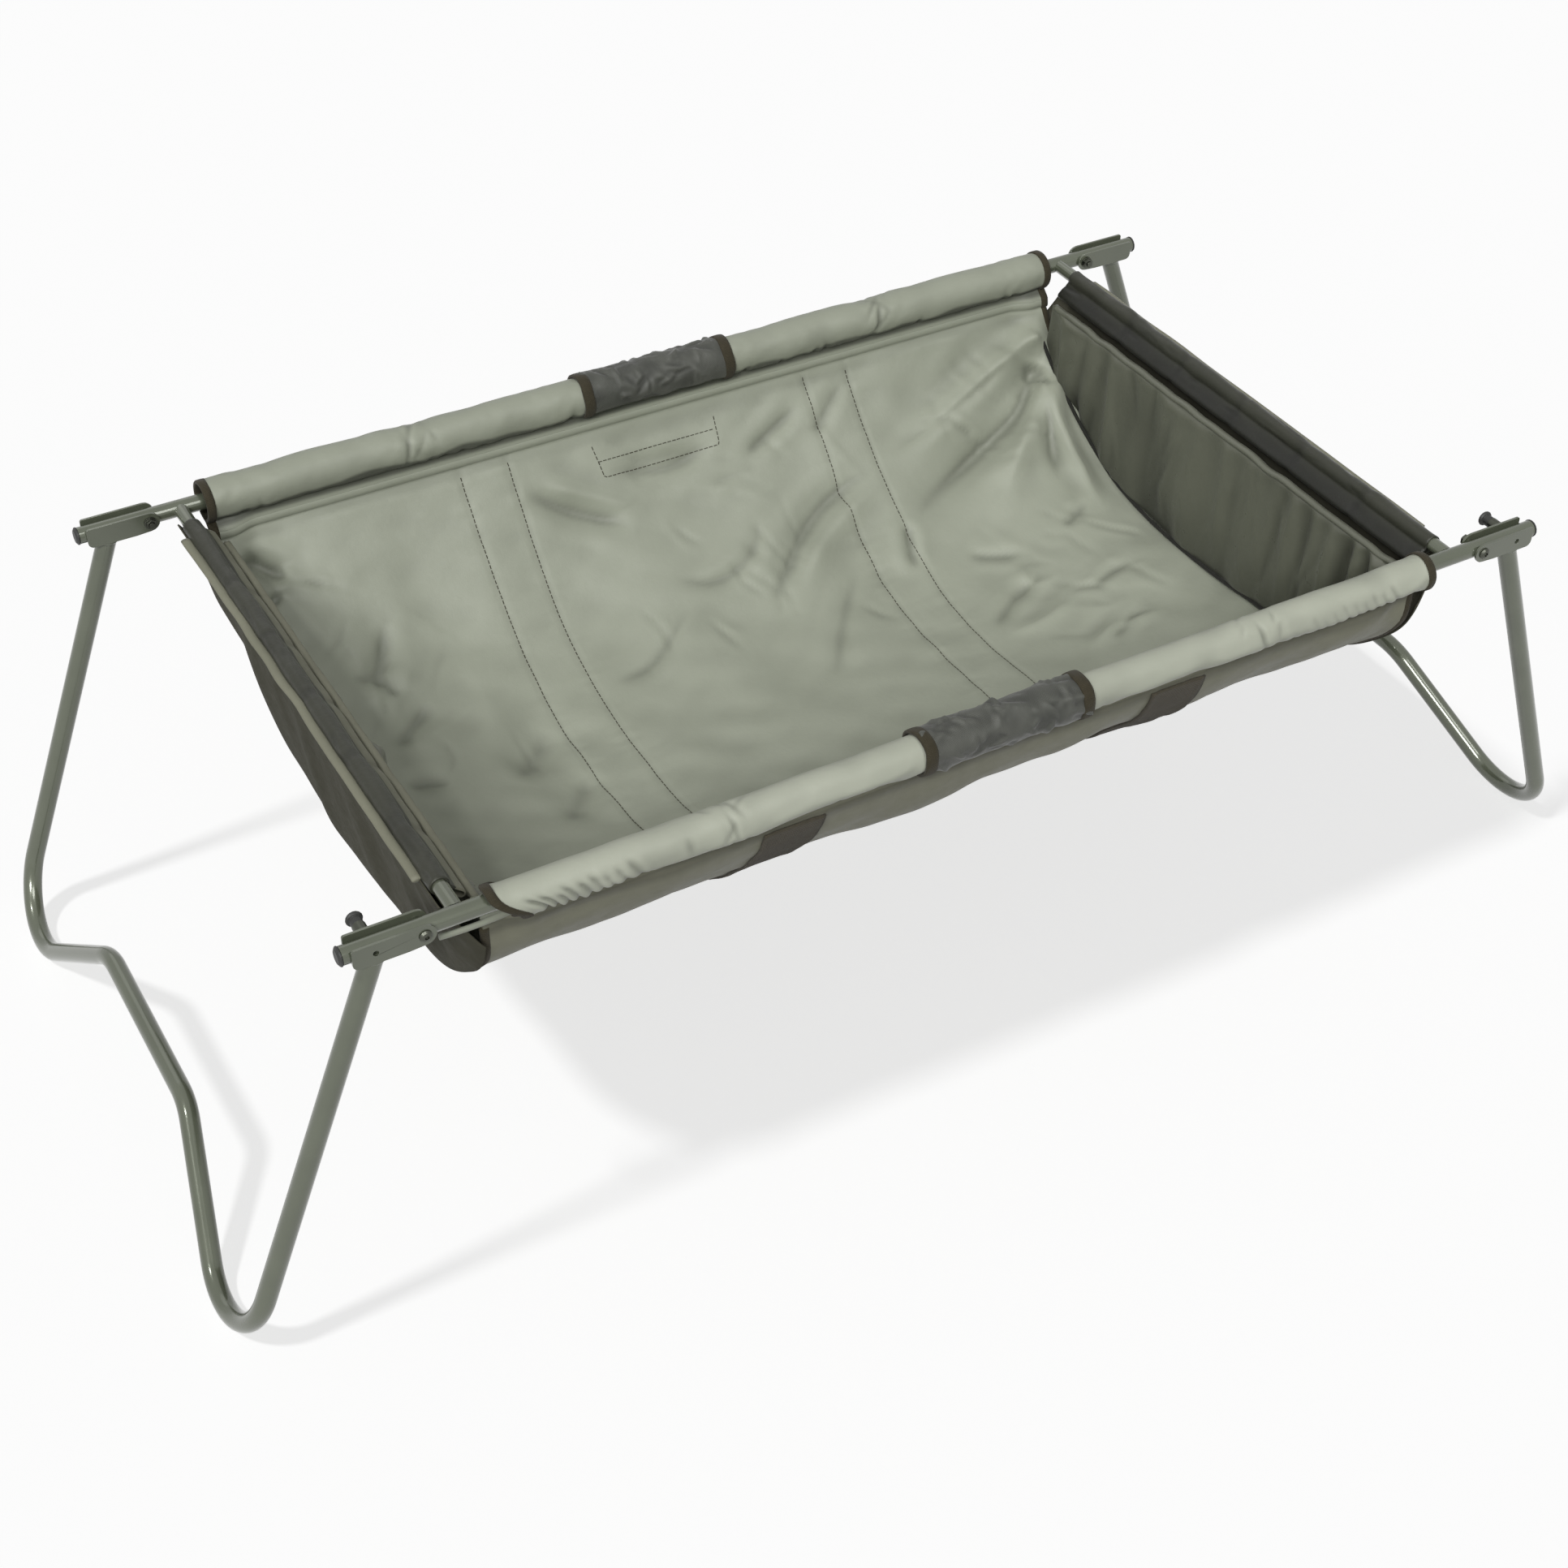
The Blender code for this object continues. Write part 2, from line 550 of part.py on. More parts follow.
def build_lock(shop, word, leg, side):
    """The pull lock of one front channel: barrel, spring, pin and knob, along the pin's axis."""
    inward = (0, -side, 0)
    place = (LOCK_OFFSET, side * RAIL_Y, 0)
    wall = CHANNEL_OUTER + SEAT_GAP
    lip = wall + BARREL_LENGTH
    bore = BARREL_D / 2 - BARREL_WALL
    pin_hole = PIN_D / 2 + HOLE_GAP
    barrel = [(pin_hole, lip), (BARREL_D / 2, lip), (BARREL_D / 2, wall), (bore, wall),
              (bore, lip - BARREL_LIP), (pin_hole, lip - BARREL_LIP)]
    shop.add(f"{word}_lock_barrel", turned_mesh("barrel", barrel, SMALL_SIDES), shop.zinc, leg, place,
             facing(inward))

    slide = shop.add_empty(f"{word}_lock_axis", place, facing(inward), leg)
    collar = wall + SEAT_GAP
    knob_low = lip + SEAT_GAP
    pin_top = knob_low + KNOB_SOCKET
    tip = RAIL_R - PIN_BITE
    pin = [(0, pin_top), (PIN_D / 2, pin_top), (PIN_D / 2, collar + PIN_COLLAR_H),
           (PIN_COLLAR_D / 2, collar + PIN_COLLAR_H), (PIN_COLLAR_D / 2, collar), (PIN_D / 2, collar),
           (PIN_D / 2, tip + PIN_D / 8), (PIN_D / 4, tip), (0, tip)]
    shop.add(f"{word}_lock_pin", turned_mesh("pin", pin, SMALL_SIDES), shop.zinc, slide)

    knob_top = knob_low + KNOB_H
    rim = KNOB_D / 2 - KNOB_EDGE_R
    crown = [(rim + dr, h) for dr, h in
             arc((0, knob_top - KNOB_EDGE_R), KNOB_EDGE_R, math.pi / 2, -math.pi / 2, CORNER_STEPS)]
    knob = ([(0, knob_top)] + crown
            + [(KNOB_NECK_D / 2, knob_top - 3 * KNOB_EDGE_R), (KNOB_NECK_D / 2, knob_low),
               (pin_hole, knob_low), (pin_hole, pin_top + SEAT_GAP), (0, pin_top + SEAT_GAP)])
    shop.add(f"{word}_lock_knob", turned_mesh("knob", knob, SMALL_SIDES), shop.nylon, slide)

    first = collar + PIN_COLLAR_H + SEAT_GAP + SPRING_WIRE_D / 2
    last = lip - BARREL_LIP - SEAT_GAP - SPRING_WIRE_D / 2
    radius = (pin_hole + bore) / 2
    shop.add(f"{word}_lock_spring", spring_mesh(f"{word}_lock_spring", radius, first, last),
             shop.spring_steel, leg, place, facing(inward))


def spring_mesh(name, radius, first, last):
    """A coil spring about Z between two heights, with its least gap printed."""
    count = SPRING_TURNS * SPRING_POINTS_PER_TURN
    path = [Vector((radius * math.cos(2 * math.pi * i / SPRING_POINTS_PER_TURN),
                    radius * math.sin(2 * math.pi * i / SPRING_POINTS_PER_TURN),
                    first + (last - first) * i / count)) for i in range(count + 1)]
    apart = SPRING_POINTS_PER_TURN // 2
    least = min((path[i] - path[j]).length for i in range(count + 1) for j in range(i + apart, count + 1))
    print(f"{name}: least gap between turns {1000 * (least - SPRING_WIRE_D):.2f} mm")
    return tube_mesh(name, path, SPRING_WIRE_D / 2, 1)


def build_leg_frame(shop, word, end):
    """One leg frame on its pivot: tube, channels, bolts, nuts and its pull lock at the front."""
    leg = shop.add_empty(f"{word}_leg_pivot", (end * PIVOT_X, 0, RAIL_HEIGHT),
                         (0, 0, 0 if end > 0 else math.pi))
    build_leg_tube(shop, f"{word}_leg_tube", leg)
    for row, row_side in (("front", -1), ("rear", 1)):
        side = row_side * end
        build_channel(shop, f"{row}_{word}_leg_channel", leg, side, row == "front")
        build_pivot_bolt(shop, f"{row}_{word}_pivot_bolt", leg, side)
        build_pivot_nut(shop, f"{row}_{word}_pivot_nut", leg, side)
    build_lock(shop, word, leg, -end)


# Sleeves and covers

def teardrop(radius, tail_reach, tail_r, tail_angle, steps):
    """A round with a tail that hangs from it: points about the round's centre, as (inward, up).

    The tail leans inward from straight down by its angle.
    """
    lean = math.acos((radius - tail_r) / tail_reach)
    down = -math.pi / 2 + tail_angle
    tip = (tail_reach * math.cos(down), tail_reach * math.sin(down))
    return (arc((0, 0), radius, down + lean, down + 2 * math.pi - lean, steps)
            + arc(tip, tail_r, down - lean, down + lean, CORNER_STEPS))


def pinch(distance, width, depth):
    """How far a line of stitches draws a padded cover in, by the distance from the line."""
    return depth * math.exp(-(distance / width) ** 2)


def cover_rings(stations, outline_at, bore, put):
    """Rings of a padded cover with a round bore: along its outside and back through its bore."""
    outside = [[put(station, *point) for point in outline_at(station)] for station in stations]
    outline = outline_at(stations[0])
    count = len(outline)
    tip = count - 1 - CORNER_STEPS // 2
    down = math.atan2(outline[tip][1], outline[tip][0])
    angles = [down + 2 * math.pi * (i - tip) / count for i in range(count)]
    inside = [[put(station, bore * math.cos(a), bore * math.sin(a)) for a in angles] for station in stations]
    return outside + inside[::-1]


def build_sleeve(shop, row, side):
    """The foam and the cover of one rail."""
    place = (0, side * RAIL_Y, RAIL_HEIGHT)
    foam_half = SLEEVE_HALF - FOAM_INSET
    bore = RAIL_R + SEAT_GAP
    ring = [(bore, foam_half), (FOAM_R, foam_half), (FOAM_R, -foam_half), (bore, -foam_half)]
    shop.add(f"{row}_rail_foam", turned_mesh("foam", ring, ROUND_SIDES), shop.foam, place=place,
             turn=facing((1, 0, 0)))

    def outline_at(x):
        draw = pinch(abs(x) - SLEEVE_PINCH_X, SLEEVE_PINCH_WIDTH, SLEEVE_PINCH)
        return teardrop(SLEEVE_R + SLEEVE_PINCH / 2 - draw if abs(x) > GRIP_LENGTH else SLEEVE_R,
                        TAIL_REACH, TAIL_R, TAIL_ANGLE, ARC_STEPS)

    half_row = [SLEEVE_HALF, SLEEVE_PINCH_X + 2 * SLEEVE_PINCH_WIDTH, SLEEVE_PINCH_X,
                GRIP_LENGTH + SLEEVE_PINCH_WIDTH / 2, GRIP_LENGTH]
    stations = [-x for x in half_row] + half_row[::-1]
    rings = cover_rings(stations, outline_at, FOAM_R + SEAT_GAP, lambda x, inward, up: (x, -side * inward, up))
    shop.add(f"{row}_sleeve", skin_rings(f"{row}_sleeve", rings), shop.cloth, place=place)

    inner = SLEEVE_R + SEAT_GAP
    lean = -math.pi / 2 + TAIL_ANGLE
    first = lean + GRIP_OPENING
    last = lean + 2 * math.pi - GRIP_OPENING
    outline = arc((0, 0), inner + GRIP_T, first, last, ARC_STEPS) + arc((0, 0), inner, last, first, ARC_STEPS)
    outline = [(-side * inward, up) for inward, up in outline]
    shop.add(f"{row}_grip", outline_mesh(f"{row}_grip", outline, GRIP_LENGTH / 2), shop.wrap, place=place,
             turn=(math.pi / 2, 0, math.pi / 2))


def build_bar_cover(shop, word, end):
    """The padded cover of one crossbar, whose tail leans towards the mat."""

    def outline_at(y):
        nearest = abs(y) - COVER_PINCH_PITCH / 2
        draw = pinch(nearest, COVER_PINCH_PITCH / 8, COVER_PINCH)
        return teardrop(COVER_R, COVER_TAIL_REACH, COVER_TAIL_R - draw, COVER_TAIL_ANGLE, ARC_STEPS)

    half_row = [COVER_HALF, COVER_PINCH_PITCH, COVER_PINCH_PITCH / 2]
    stations = [-y for y in half_row] + [0] + half_row[::-1]
    rings = cover_rings(stations, outline_at, CROSSBAR_D / 2 + SEAT_GAP,
                        lambda y, inward, up: (-end * inward, y, up))
    shop.add(f"{word}_bar_cover", skin_rings(f"{word}_bar_cover", rings), shop.dark_cloth,
             place=(end * CROSSBAR_X, 0, RAIL_HEIGHT))


# Mat, straps and end panels

def fold_height(x, y):
    """How far the mat's main folds lift it at a place, fading out at its ends and seams."""
    fade = (smooth_step((MAT_HALF - MAT_END_FLAT - abs(x)) / FOLD_FADE)
            * smooth_step((MAT_EDGE_Y - abs(y)) / FOLD_FADE))
    height = 0.0
    for start, end, width, lift in FOLDS:
        run = end - start
        along = min(max((Vector((x, y)) - start).dot(run) / run.length_squared, 0.0), 1.0)
        height += lift * math.exp(-((Vector((x, y)) - start - run * along).length / width) ** 2)
    return height * fade


def trough_depth(x):
    """Depth of the mat below the rails along its length."""
    span = MAT_HALF - MAT_END_FLAT - MAT_LEVEL_HALF
    return MAT_DEPTH + (MAT_END_DEPTH - MAT_DEPTH) * smooth_step((abs(x) - MAT_LEVEL_HALF) / span)


def trough_point(x, share):
    """A point of the mat's inner face, by its share of the way from the front to the rear seam."""
    depth = trough_depth(x)
    power = 2 / MAT_ROUNDNESS
    edge = math.asin((SEAM_DROP / depth) ** (1 / power))
    angle = edge + (math.pi - 2 * edge) * share
    widen = MAT_EDGE_Y / math.cos(edge) ** power
    y = -math.copysign(widen * abs(math.cos(angle)) ** power, math.cos(angle))
    return Vector((x, y, RAIL_HEIGHT - depth * math.sin(angle) ** power + fold_height(x, y)))


def trough_offset(x, share, distance):
    """A point at a distance outside the mat's inner face."""
    step = 0.001
    along = trough_point(x + step, share) - trough_point(x - step, share)
    across = (trough_point(x, min(share + step, 1.0)) - trough_point(x, max(share - step, 0.0)))
    return trough_point(x, share) + across.cross(along).normalized() * distance


def mat_stations():
    """Places along the mat: its ends, the panels' seats and the straps' edges, with steps between."""
    flat = MAT_HALF - MAT_END_FLAT
    inner = STRAP_X - STRAP_WIDTH / 2
    outer = STRAP_X + STRAP_WIDTH / 2
    keys = [-MAT_HALF, -flat, -outer, -inner, inner, outer, flat, MAT_HALF]
    steps = [1, 6, 2, 8, 2, 6, 1]
    stations = [keys[0]]
    for start, end, count in zip(keys, keys[1:], steps):
        stations += [start + (end - start) * i / count for i in range(1, count + 1)]
    return stations


def sheet_mesh(name, stations, distance):
    """An open sheet that follows the mat at a distance outside its inner face."""
    bm = bmesh.new()
    bmesh.ops.create_grid(bm, x_segments=len(stations) - 1, y_segments=MAT_ARC_SEGMENTS, size=1.0)
    for vertex in bm.verts:
        column = round((vertex.co.x + 1) / 2 * (len(stations) - 1))
        share = round((vertex.co.y + 1) / 2 * MAT_ARC_SEGMENTS) / MAT_ARC_SEGMENTS
        vertex.co = trough_offset(stations[column], share, distance)
    bmesh.ops.reverse_faces(bm, faces=bm.faces)
    mesh = bpy.data.meshes.new(name)
    bm.to_mesh(mesh)
    bm.free()
    mesh.shade_smooth()
    return mesh


def thicken(piece, thickness, offset):
    """Give an open sheet its thickness."""
    modifier = piece.modifiers.new("thickness", "SOLIDIFY")
    modifier.thickness = thickness
    modifier.offset = offset
    return modifier


def build_mat(shop):
    """The hung mat and the two straps sewn under it."""
    stations = mat_stations()
    mat = shop.add("mat", sheet_mesh("mat", stations, 0.0), shop.cloth)
    thicken(mat, MAT_T, 1.0)
    for word, end in (("left", -1), ("right", 1)):
        under = [x for x in stations if abs(x - end * STRAP_X) < STRAP_WIDTH / 2 + SEAT_GAP]
        name = f"{word}_strap"
        strap = shop.add(name, sheet_mesh(name, under, MAT_T + SEAT_GAP), shop.webbing)
        thicken(strap, STRAP_T, 1.0)


def build_end_panel(shop, word, end):
    """A padded panel that stands on the mat's end and hangs from the crossbar's cover."""
    columns = MAT_ARC_SEGMENTS - 2
    foot_x = end * (CROSSBAR_X - PANEL_FOOT_INSET)
    top = Vector((end * (CROSSBAR_X - PANEL_TOP_INSET), 0, RAIL_HEIGHT - PANEL_TOP_DROP))
    bm = bmesh.new()
    bmesh.ops.create_grid(bm, x_segments=columns, y_segments=PANEL_ROWS, size=1.0)
    crown = []
    for vertex in bm.verts:
        across, up = vertex.co.x, vertex.co.y
        share = (1 + round((across + 1) / 2 * columns)) / MAT_ARC_SEGMENTS
        foot = trough_offset(foot_x, share, -PANEL_FOOT_GAP)
        vertex.co = foot.lerp(Vector((top.x, foot.y, top.z)), (up + 1) / 2)
        swell = (1 - across ** 4) * (1 - up ** 4)
        crown.append(PANEL_EDGE_SHARE + (1 - PANEL_EDGE_SHARE) * swell)
    name = f"{word}_end_panel"
    mesh = bpy.data.meshes.new(name)
    bm.to_mesh(mesh)
    bm.free()
    mesh.shade_smooth()
    panel = shop.add(name, mesh, shop.dark_cloth)
    group = panel.vertex_groups.new(name="crown")
    for index, weight in enumerate(crown):
        group.add([index], weight, "REPLACE")
    padding = thicken(panel, PANEL_T, 0.0)
    padding.vertex_group = group.name


def main():
    """Build the cradle."""
    clear_scene()
    shop = Workshop()
    for row, side in (("front", -1), ("rear", 1)):
        build_rail(shop, f"{row}_rail", side, row == "front")
        build_sleeve(shop, row, side)
        for word, end in (("left", -1), ("right", 1)):
            build_end_plug(shop, f"{row}_{word}_end_plug", end, side)
            build_pivot_bush(shop, f"{row}_{word}_pivot_bush", end, side)
    for word, end in (("left", -1), ("right", 1)):
        build_crossbar(shop, f"{word}_crossbar", end)
        build_leg_frame(shop, word, end)
        build_bar_cover(shop, word, end)
        build_end_panel(shop, word, end)
    build_mat(shop)
    bpy.context.view_layer.update()


main()
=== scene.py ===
"""Looks of the folding fish cradle: cloth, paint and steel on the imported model.

Units are metres. +X runs along the rails, +Y points to the rear rail and +Z is up.
"""

import json
import logging
import math
from dataclasses import dataclass
from functools import cached_property

import bmesh
import bpy
import numpy as np
from mathutils import Matrix, Vector

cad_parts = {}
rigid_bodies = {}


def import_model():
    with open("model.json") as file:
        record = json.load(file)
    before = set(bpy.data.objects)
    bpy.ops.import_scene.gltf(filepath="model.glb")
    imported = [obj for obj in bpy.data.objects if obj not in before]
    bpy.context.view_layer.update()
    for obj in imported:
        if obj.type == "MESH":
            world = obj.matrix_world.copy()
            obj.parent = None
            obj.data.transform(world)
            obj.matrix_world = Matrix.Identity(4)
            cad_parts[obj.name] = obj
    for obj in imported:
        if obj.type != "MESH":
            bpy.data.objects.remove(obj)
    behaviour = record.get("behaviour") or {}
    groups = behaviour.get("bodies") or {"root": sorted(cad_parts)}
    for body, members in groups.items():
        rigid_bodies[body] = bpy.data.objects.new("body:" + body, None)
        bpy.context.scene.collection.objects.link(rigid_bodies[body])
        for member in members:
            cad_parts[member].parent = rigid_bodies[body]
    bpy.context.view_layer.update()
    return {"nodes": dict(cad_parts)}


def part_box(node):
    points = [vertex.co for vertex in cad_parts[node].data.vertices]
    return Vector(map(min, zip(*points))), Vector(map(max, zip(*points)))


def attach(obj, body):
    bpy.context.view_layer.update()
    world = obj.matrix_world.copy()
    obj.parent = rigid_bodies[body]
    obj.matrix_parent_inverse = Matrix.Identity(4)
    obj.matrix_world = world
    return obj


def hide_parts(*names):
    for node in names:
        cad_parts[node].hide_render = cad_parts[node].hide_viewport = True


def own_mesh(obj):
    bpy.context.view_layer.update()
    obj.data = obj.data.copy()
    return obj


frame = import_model()

log = logging.getLogger("cradle")

MM = 0.001


# Small helpers

def linear(code: str) -> tuple[float, float, float, float]:
    """Turn an sRGB hex colour into linear light.

    Args:
        code: the colour as #rrggbb.

    Returns:
        Red, green, blue and an alpha of 1.
    """
    parts = [int(code[i:i + 2], 16) / 255 for i in (1, 3, 5)]
    light = [p / 12.92 if p <= 0.04045 else ((p + 0.055) / 1.055) ** 2.4 for p in parts]
    return (*light, 1.0)


def ease(value: np.ndarray | float) -> np.ndarray | float:
    """Ease from 0 to 1 as a value goes from 0 to 1."""
    value = np.clip(value, 0.0, 1.0)
    return value * value * (3 - 2 * value)


def add_node(tree: bpy.types.NodeTree, kind: str, settings: dict | None = None,
             inputs: dict | None = None) -> bpy.types.Node:
    """Add one shader node with its settings, constants and links.

    Args:
        tree: the node tree.
        kind: the node's type name.
        settings: attributes of the node.
        inputs: input names or indices, each with a constant or with the socket that feeds it.

    Returns:
        The new node.
    """
    node = tree.nodes.new(kind)
    for name, value in (settings or {}).items():
        setattr(node, name, value)
    for name, value in (inputs or {}).items():
        if isinstance(value, bpy.types.NodeSocket):
            tree.links.new(value, node.inputs[name])
        else:
            node.inputs[name].default_value = value
    return node


# Finishes

@dataclass(frozen=True)
class Finish:
    """A material that starts as an empty Principled surface."""

    name: str

    def start(self) -> tuple[bpy.types.Material, bpy.types.NodeTree, bpy.types.Node]:
        """Make the material, and return it with its tree and its shader."""
        material = bpy.data.materials.new(self.name)
        material.use_nodes = True
        tree = material.node_tree
        tree.nodes.clear()
        shader = add_node(tree, "ShaderNodeBsdfPrincipled")
        add_node(tree, "ShaderNodeOutputMaterial", inputs={"Surface": shader.outputs[0]})
        return material, tree, shader


@dataclass(frozen=True)
class TubePaint(Finish):
    """Powder coat on steel tube: a green grey with a tight gloss, and a faint orange peel in it."""

    colour: str = "#565b4c"
    worn_paint_and_painted_shade: str = "#666b5b"
    roughness: float = 0.22
    peel: float = 1.4 * MM
    peel_height: float = 0.03 * MM

    def build(self) -> bpy.types.Material:
        """Make the paint."""
        material, tree, shader = self.start()
        place = add_node(tree, "ShaderNodeTexCoord").outputs["Object"]
        patches = add_node(tree, "ShaderNodeTexNoise", inputs={"Vector": place, "Scale": 28.0, "Detail": 3.0})
        tone = add_node(tree, "ShaderNodeMix", {"data_type": "RGBA"},
                        {0: patches.outputs[0], 6: linear(self.colour), 7: linear(self.worn_paint_and_painted_shade)})
        gloss = add_node(tree, "ShaderNodeMapRange", inputs={
            0: patches.outputs[0], 3: self.roughness - 0.05, 4: self.roughness + 0.07})
        peel = add_node(tree, "ShaderNodeTexNoise", inputs={"Vector": place, "Scale": 1 / self.peel})
        bump = add_node(tree, "ShaderNodeBump", inputs={
            "Height": peel.outputs[0], "Distance": self.peel_height, "Strength": 1.0})
        tree.links.new(tone.outputs[2], shader.inputs["Base Color"])
        tree.links.new(gloss.outputs[0], shader.inputs["Roughness"])
        tree.links.new(bump.outputs[0], shader.inputs["Normal"])
        shader.inputs["Metallic"].default_value = 0.25
        shader.inputs["Coat Weight"].default_value = 0.6
        shader.inputs["Coat Roughness"].default_value = 0.08
        return material


@dataclass(frozen=True)
class PlatedSteel(Finish):
    """Plated steel: metallic, with turning marks too fine to see one by one, drawn 0.3 mm apart."""

    colour: str = "#55574f"
    roughness: float = 0.36
    marks: float = 0.3 * MM

    def build(self) -> bpy.types.Material:
        """Make the steel."""
        material, tree, shader = self.start()
        place = add_node(tree, "ShaderNodeTexCoord").outputs["Object"]
        marks = add_node(tree, "ShaderNodeTexNoise", inputs={
            "Vector": place, "Scale": 1 / self.marks, "Detail": 2.0})
        gloss = add_node(tree, "ShaderNodeMapRange", inputs={
            0: marks.outputs[0], 3: self.roughness - 0.08, 4: self.roughness + 0.1})
        tree.links.new(gloss.outputs[0], shader.inputs["Roughness"])
        shader.inputs["Base Color"].default_value = linear(self.colour)
        shader.inputs["Metallic"].default_value = 1.0
        return material


@dataclass(frozen=True)
class MouldedNylon(Finish):
    """Moulded black nylon: matt, with the spark texture of its mould, drawn 0.5 mm wide."""

    colour: str = "#2b2c2a"
    grain: float = 0.5 * MM

    def build(self) -> bpy.types.Material:
        """Make the plastic."""
        material, tree, shader = self.start()
        place = add_node(tree, "ShaderNodeTexCoord").outputs["Object"]
        grain = add_node(tree, "ShaderNodeTexNoise", inputs={"Vector": place, "Scale": 1 / self.grain})
        bump = add_node(tree, "ShaderNodeBump", inputs={
            "Height": grain.outputs[0], "Distance": 0.05 * MM, "Strength": 0.7})
        gloss = add_node(tree, "ShaderNodeMapRange", inputs={0: grain.outputs[0], 3: 0.42, 4: 0.6})
        tree.links.new(bump.outputs[0], shader.inputs["Normal"])
        tree.links.new(gloss.outputs[0], shader.inputs["Roughness"])
        shader.inputs["Base Color"].default_value = linear(self.colour)
        return material


@dataclass(frozen=True)
class CoatedCloth(Finish):
    """Coated polyester: a close plain weave with a satin film that crinkles finely and shines along its folds.

    The threads are 0.3 mm apart, too fine to show, so the weave is drawn coarser. Painted shade darkens the
    cloth where an attribute of the mesh says that it lies in a fold or under a roll.
    """

    colour: str = "#9ea293"
    shade: str = "#8c9081"
    roughness: float = 0.46
    thread: float = 1.1 * MM
    thread_height: float = 0.05 * MM
    crinkle: float = 9 * MM
    crinkle_height: float = 0.35 * MM
    sheen: float = 0.06
    wrinkle: float = 55 * MM
    wrinkle_height: float = 1.1 * MM
    shine: float = 0.36

    def build(self) -> bpy.types.Material:
        """Make the cloth, whose UV map gives the threads' directions in metres."""
        material, tree, shader = self.start()
        coordinates = add_node(tree, "ShaderNodeTexCoord")
        place = coordinates.outputs["Object"]
        threads = add_node(tree, "ShaderNodeVectorMath", {"operation": "SCALE"},
                           {0: coordinates.outputs["UV"], "Scale": 2 * math.pi / self.thread})
        waves = add_node(tree, "ShaderNodeVectorMath", {"operation": "SINE"}, {0: threads.outputs[0]})
        split = add_node(tree, "ShaderNodeSeparateXYZ", inputs={0: waves.outputs[0]})
        weave = add_node(tree, "ShaderNodeMath", {"operation": "MULTIPLY"},
                         {0: split.outputs[0], 1: split.outputs[1]})
        clouds = add_node(tree, "ShaderNodeTexNoise", inputs={"Vector": place, "Scale": 11.0, "Detail": 4.0})
        crinkles = add_node(tree, "ShaderNodeTexNoise", inputs={
            "Vector": place, "Scale": 1 / self.crinkle, "Detail": 3.0, "Roughness": 0.6})
        tone = add_node(tree, "ShaderNodeMix", {"data_type": "RGBA"},
                        {0: clouds.outputs[0], 6: linear(self.shade), 7: linear(self.colour)})
        gloss = add_node(tree, "ShaderNodeMapRange", inputs={
            0: crinkles.outputs[0], 1: 0.3, 2: 0.7, 3: self.roughness - 0.05, 4: self.roughness + 0.07})
        wrinkles = add_node(tree, "ShaderNodeTexNoise", {"noise_type": "RIDGED_MULTIFRACTAL"}, {
            "Vector": place, "Scale": 1 / self.wrinkle, "Detail": 2.0, "Roughness": 0.45})
        drape = add_node(tree, "ShaderNodeBump", inputs={
            "Height": wrinkles.outputs[0], "Distance": self.wrinkle_height, "Strength": 0.5})
        film = add_node(tree, "ShaderNodeBump", inputs={
            "Height": crinkles.outputs[0], "Distance": self.crinkle_height, "Strength": 0.8,
            "Normal": drape.outputs[0]})
        cloth = add_node(tree, "ShaderNodeBump", inputs={
            "Height": weave.outputs[0], "Distance": self.thread_height, "Strength": 0.5,
            "Normal": film.outputs[0]})
        # Painted shade: the mesh's attribute mixes the colour towards a fifth of the shade colour in folds and under
        # rolls.
        hollow = add_node(tree, "ShaderNodeAttribute", {"attribute_name": "hollow"})
        dark = tuple(0.2 * part for part in linear(self.shade)[:3]) + (1.0,)
        worn_paint_and_painted_shade = add_node(tree, "ShaderNodeMix", {"data_type": "RGBA"},
                        {0: hollow.outputs["Fac"], 6: tone.outputs[2], 7: dark})
        tree.links.new(worn_paint_and_painted_shade.outputs[2], shader.inputs["Base Color"])
        tree.links.new(gloss.outputs[0], shader.inputs["Roughness"])
        tree.links.new(cloth.outputs[0], shader.inputs["Normal"])
        shader.inputs["Sheen Weight"].default_value = self.sheen
        shader.inputs["Sheen Roughness"].default_value = 0.4
        shader.inputs["Specular IOR Level"].default_value = self.shine
        return material


@dataclass(frozen=True)
class RibbedTape(Finish):
    """Woven tape: ribs across it that catch the light, and a matt, slightly hairy face."""

    colour: str = "#4f4a3d"
    shade: str = "#3d392f"
    rib: float = 1.6 * MM
    rib_height: float = 0.25 * MM

    def build(self) -> bpy.types.Material:
        """Make the tape, whose UV map runs along it in metres."""
        material, tree, shader = self.start()
        coordinates = add_node(tree, "ShaderNodeTexCoord")
        ribs = add_node(tree, "ShaderNodeVectorMath", {"operation": "SCALE"},
                        {0: coordinates.outputs["UV"], "Scale": 2 * math.pi / self.rib})
        waves = add_node(tree, "ShaderNodeVectorMath", {"operation": "SINE"}, {0: ribs.outputs[0]})
        split = add_node(tree, "ShaderNodeSeparateXYZ", inputs={0: waves.outputs[0]})
        height = add_node(tree, "ShaderNodeMath", {"operation": "MULTIPLY_ADD"},
                          {0: split.outputs[1], 1: 0.4, 2: split.outputs[0]})
        fuzz = add_node(tree, "ShaderNodeTexNoise", inputs={
            "Vector": coordinates.outputs["Object"], "Scale": 260.0, "Detail": 3.0})
        tone = add_node(tree, "ShaderNodeMix", {"data_type": "RGBA"},
                        {0: fuzz.outputs[0], 6: linear(self.shade), 7: linear(self.colour)})
        bump = add_node(tree, "ShaderNodeBump", inputs={
            "Height": height.outputs[0], "Distance": self.rib_height, "Strength": 0.7})
        tree.links.new(tone.outputs[2], shader.inputs["Base Color"])
        tree.links.new(bump.outputs[0], shader.inputs["Normal"])
        shader.inputs["Roughness"].default_value = 0.8
        shader.inputs["Sheen Weight"].default_value = 0.08
        shader.inputs["Specular IOR Level"].default_value = 0.25
        return material


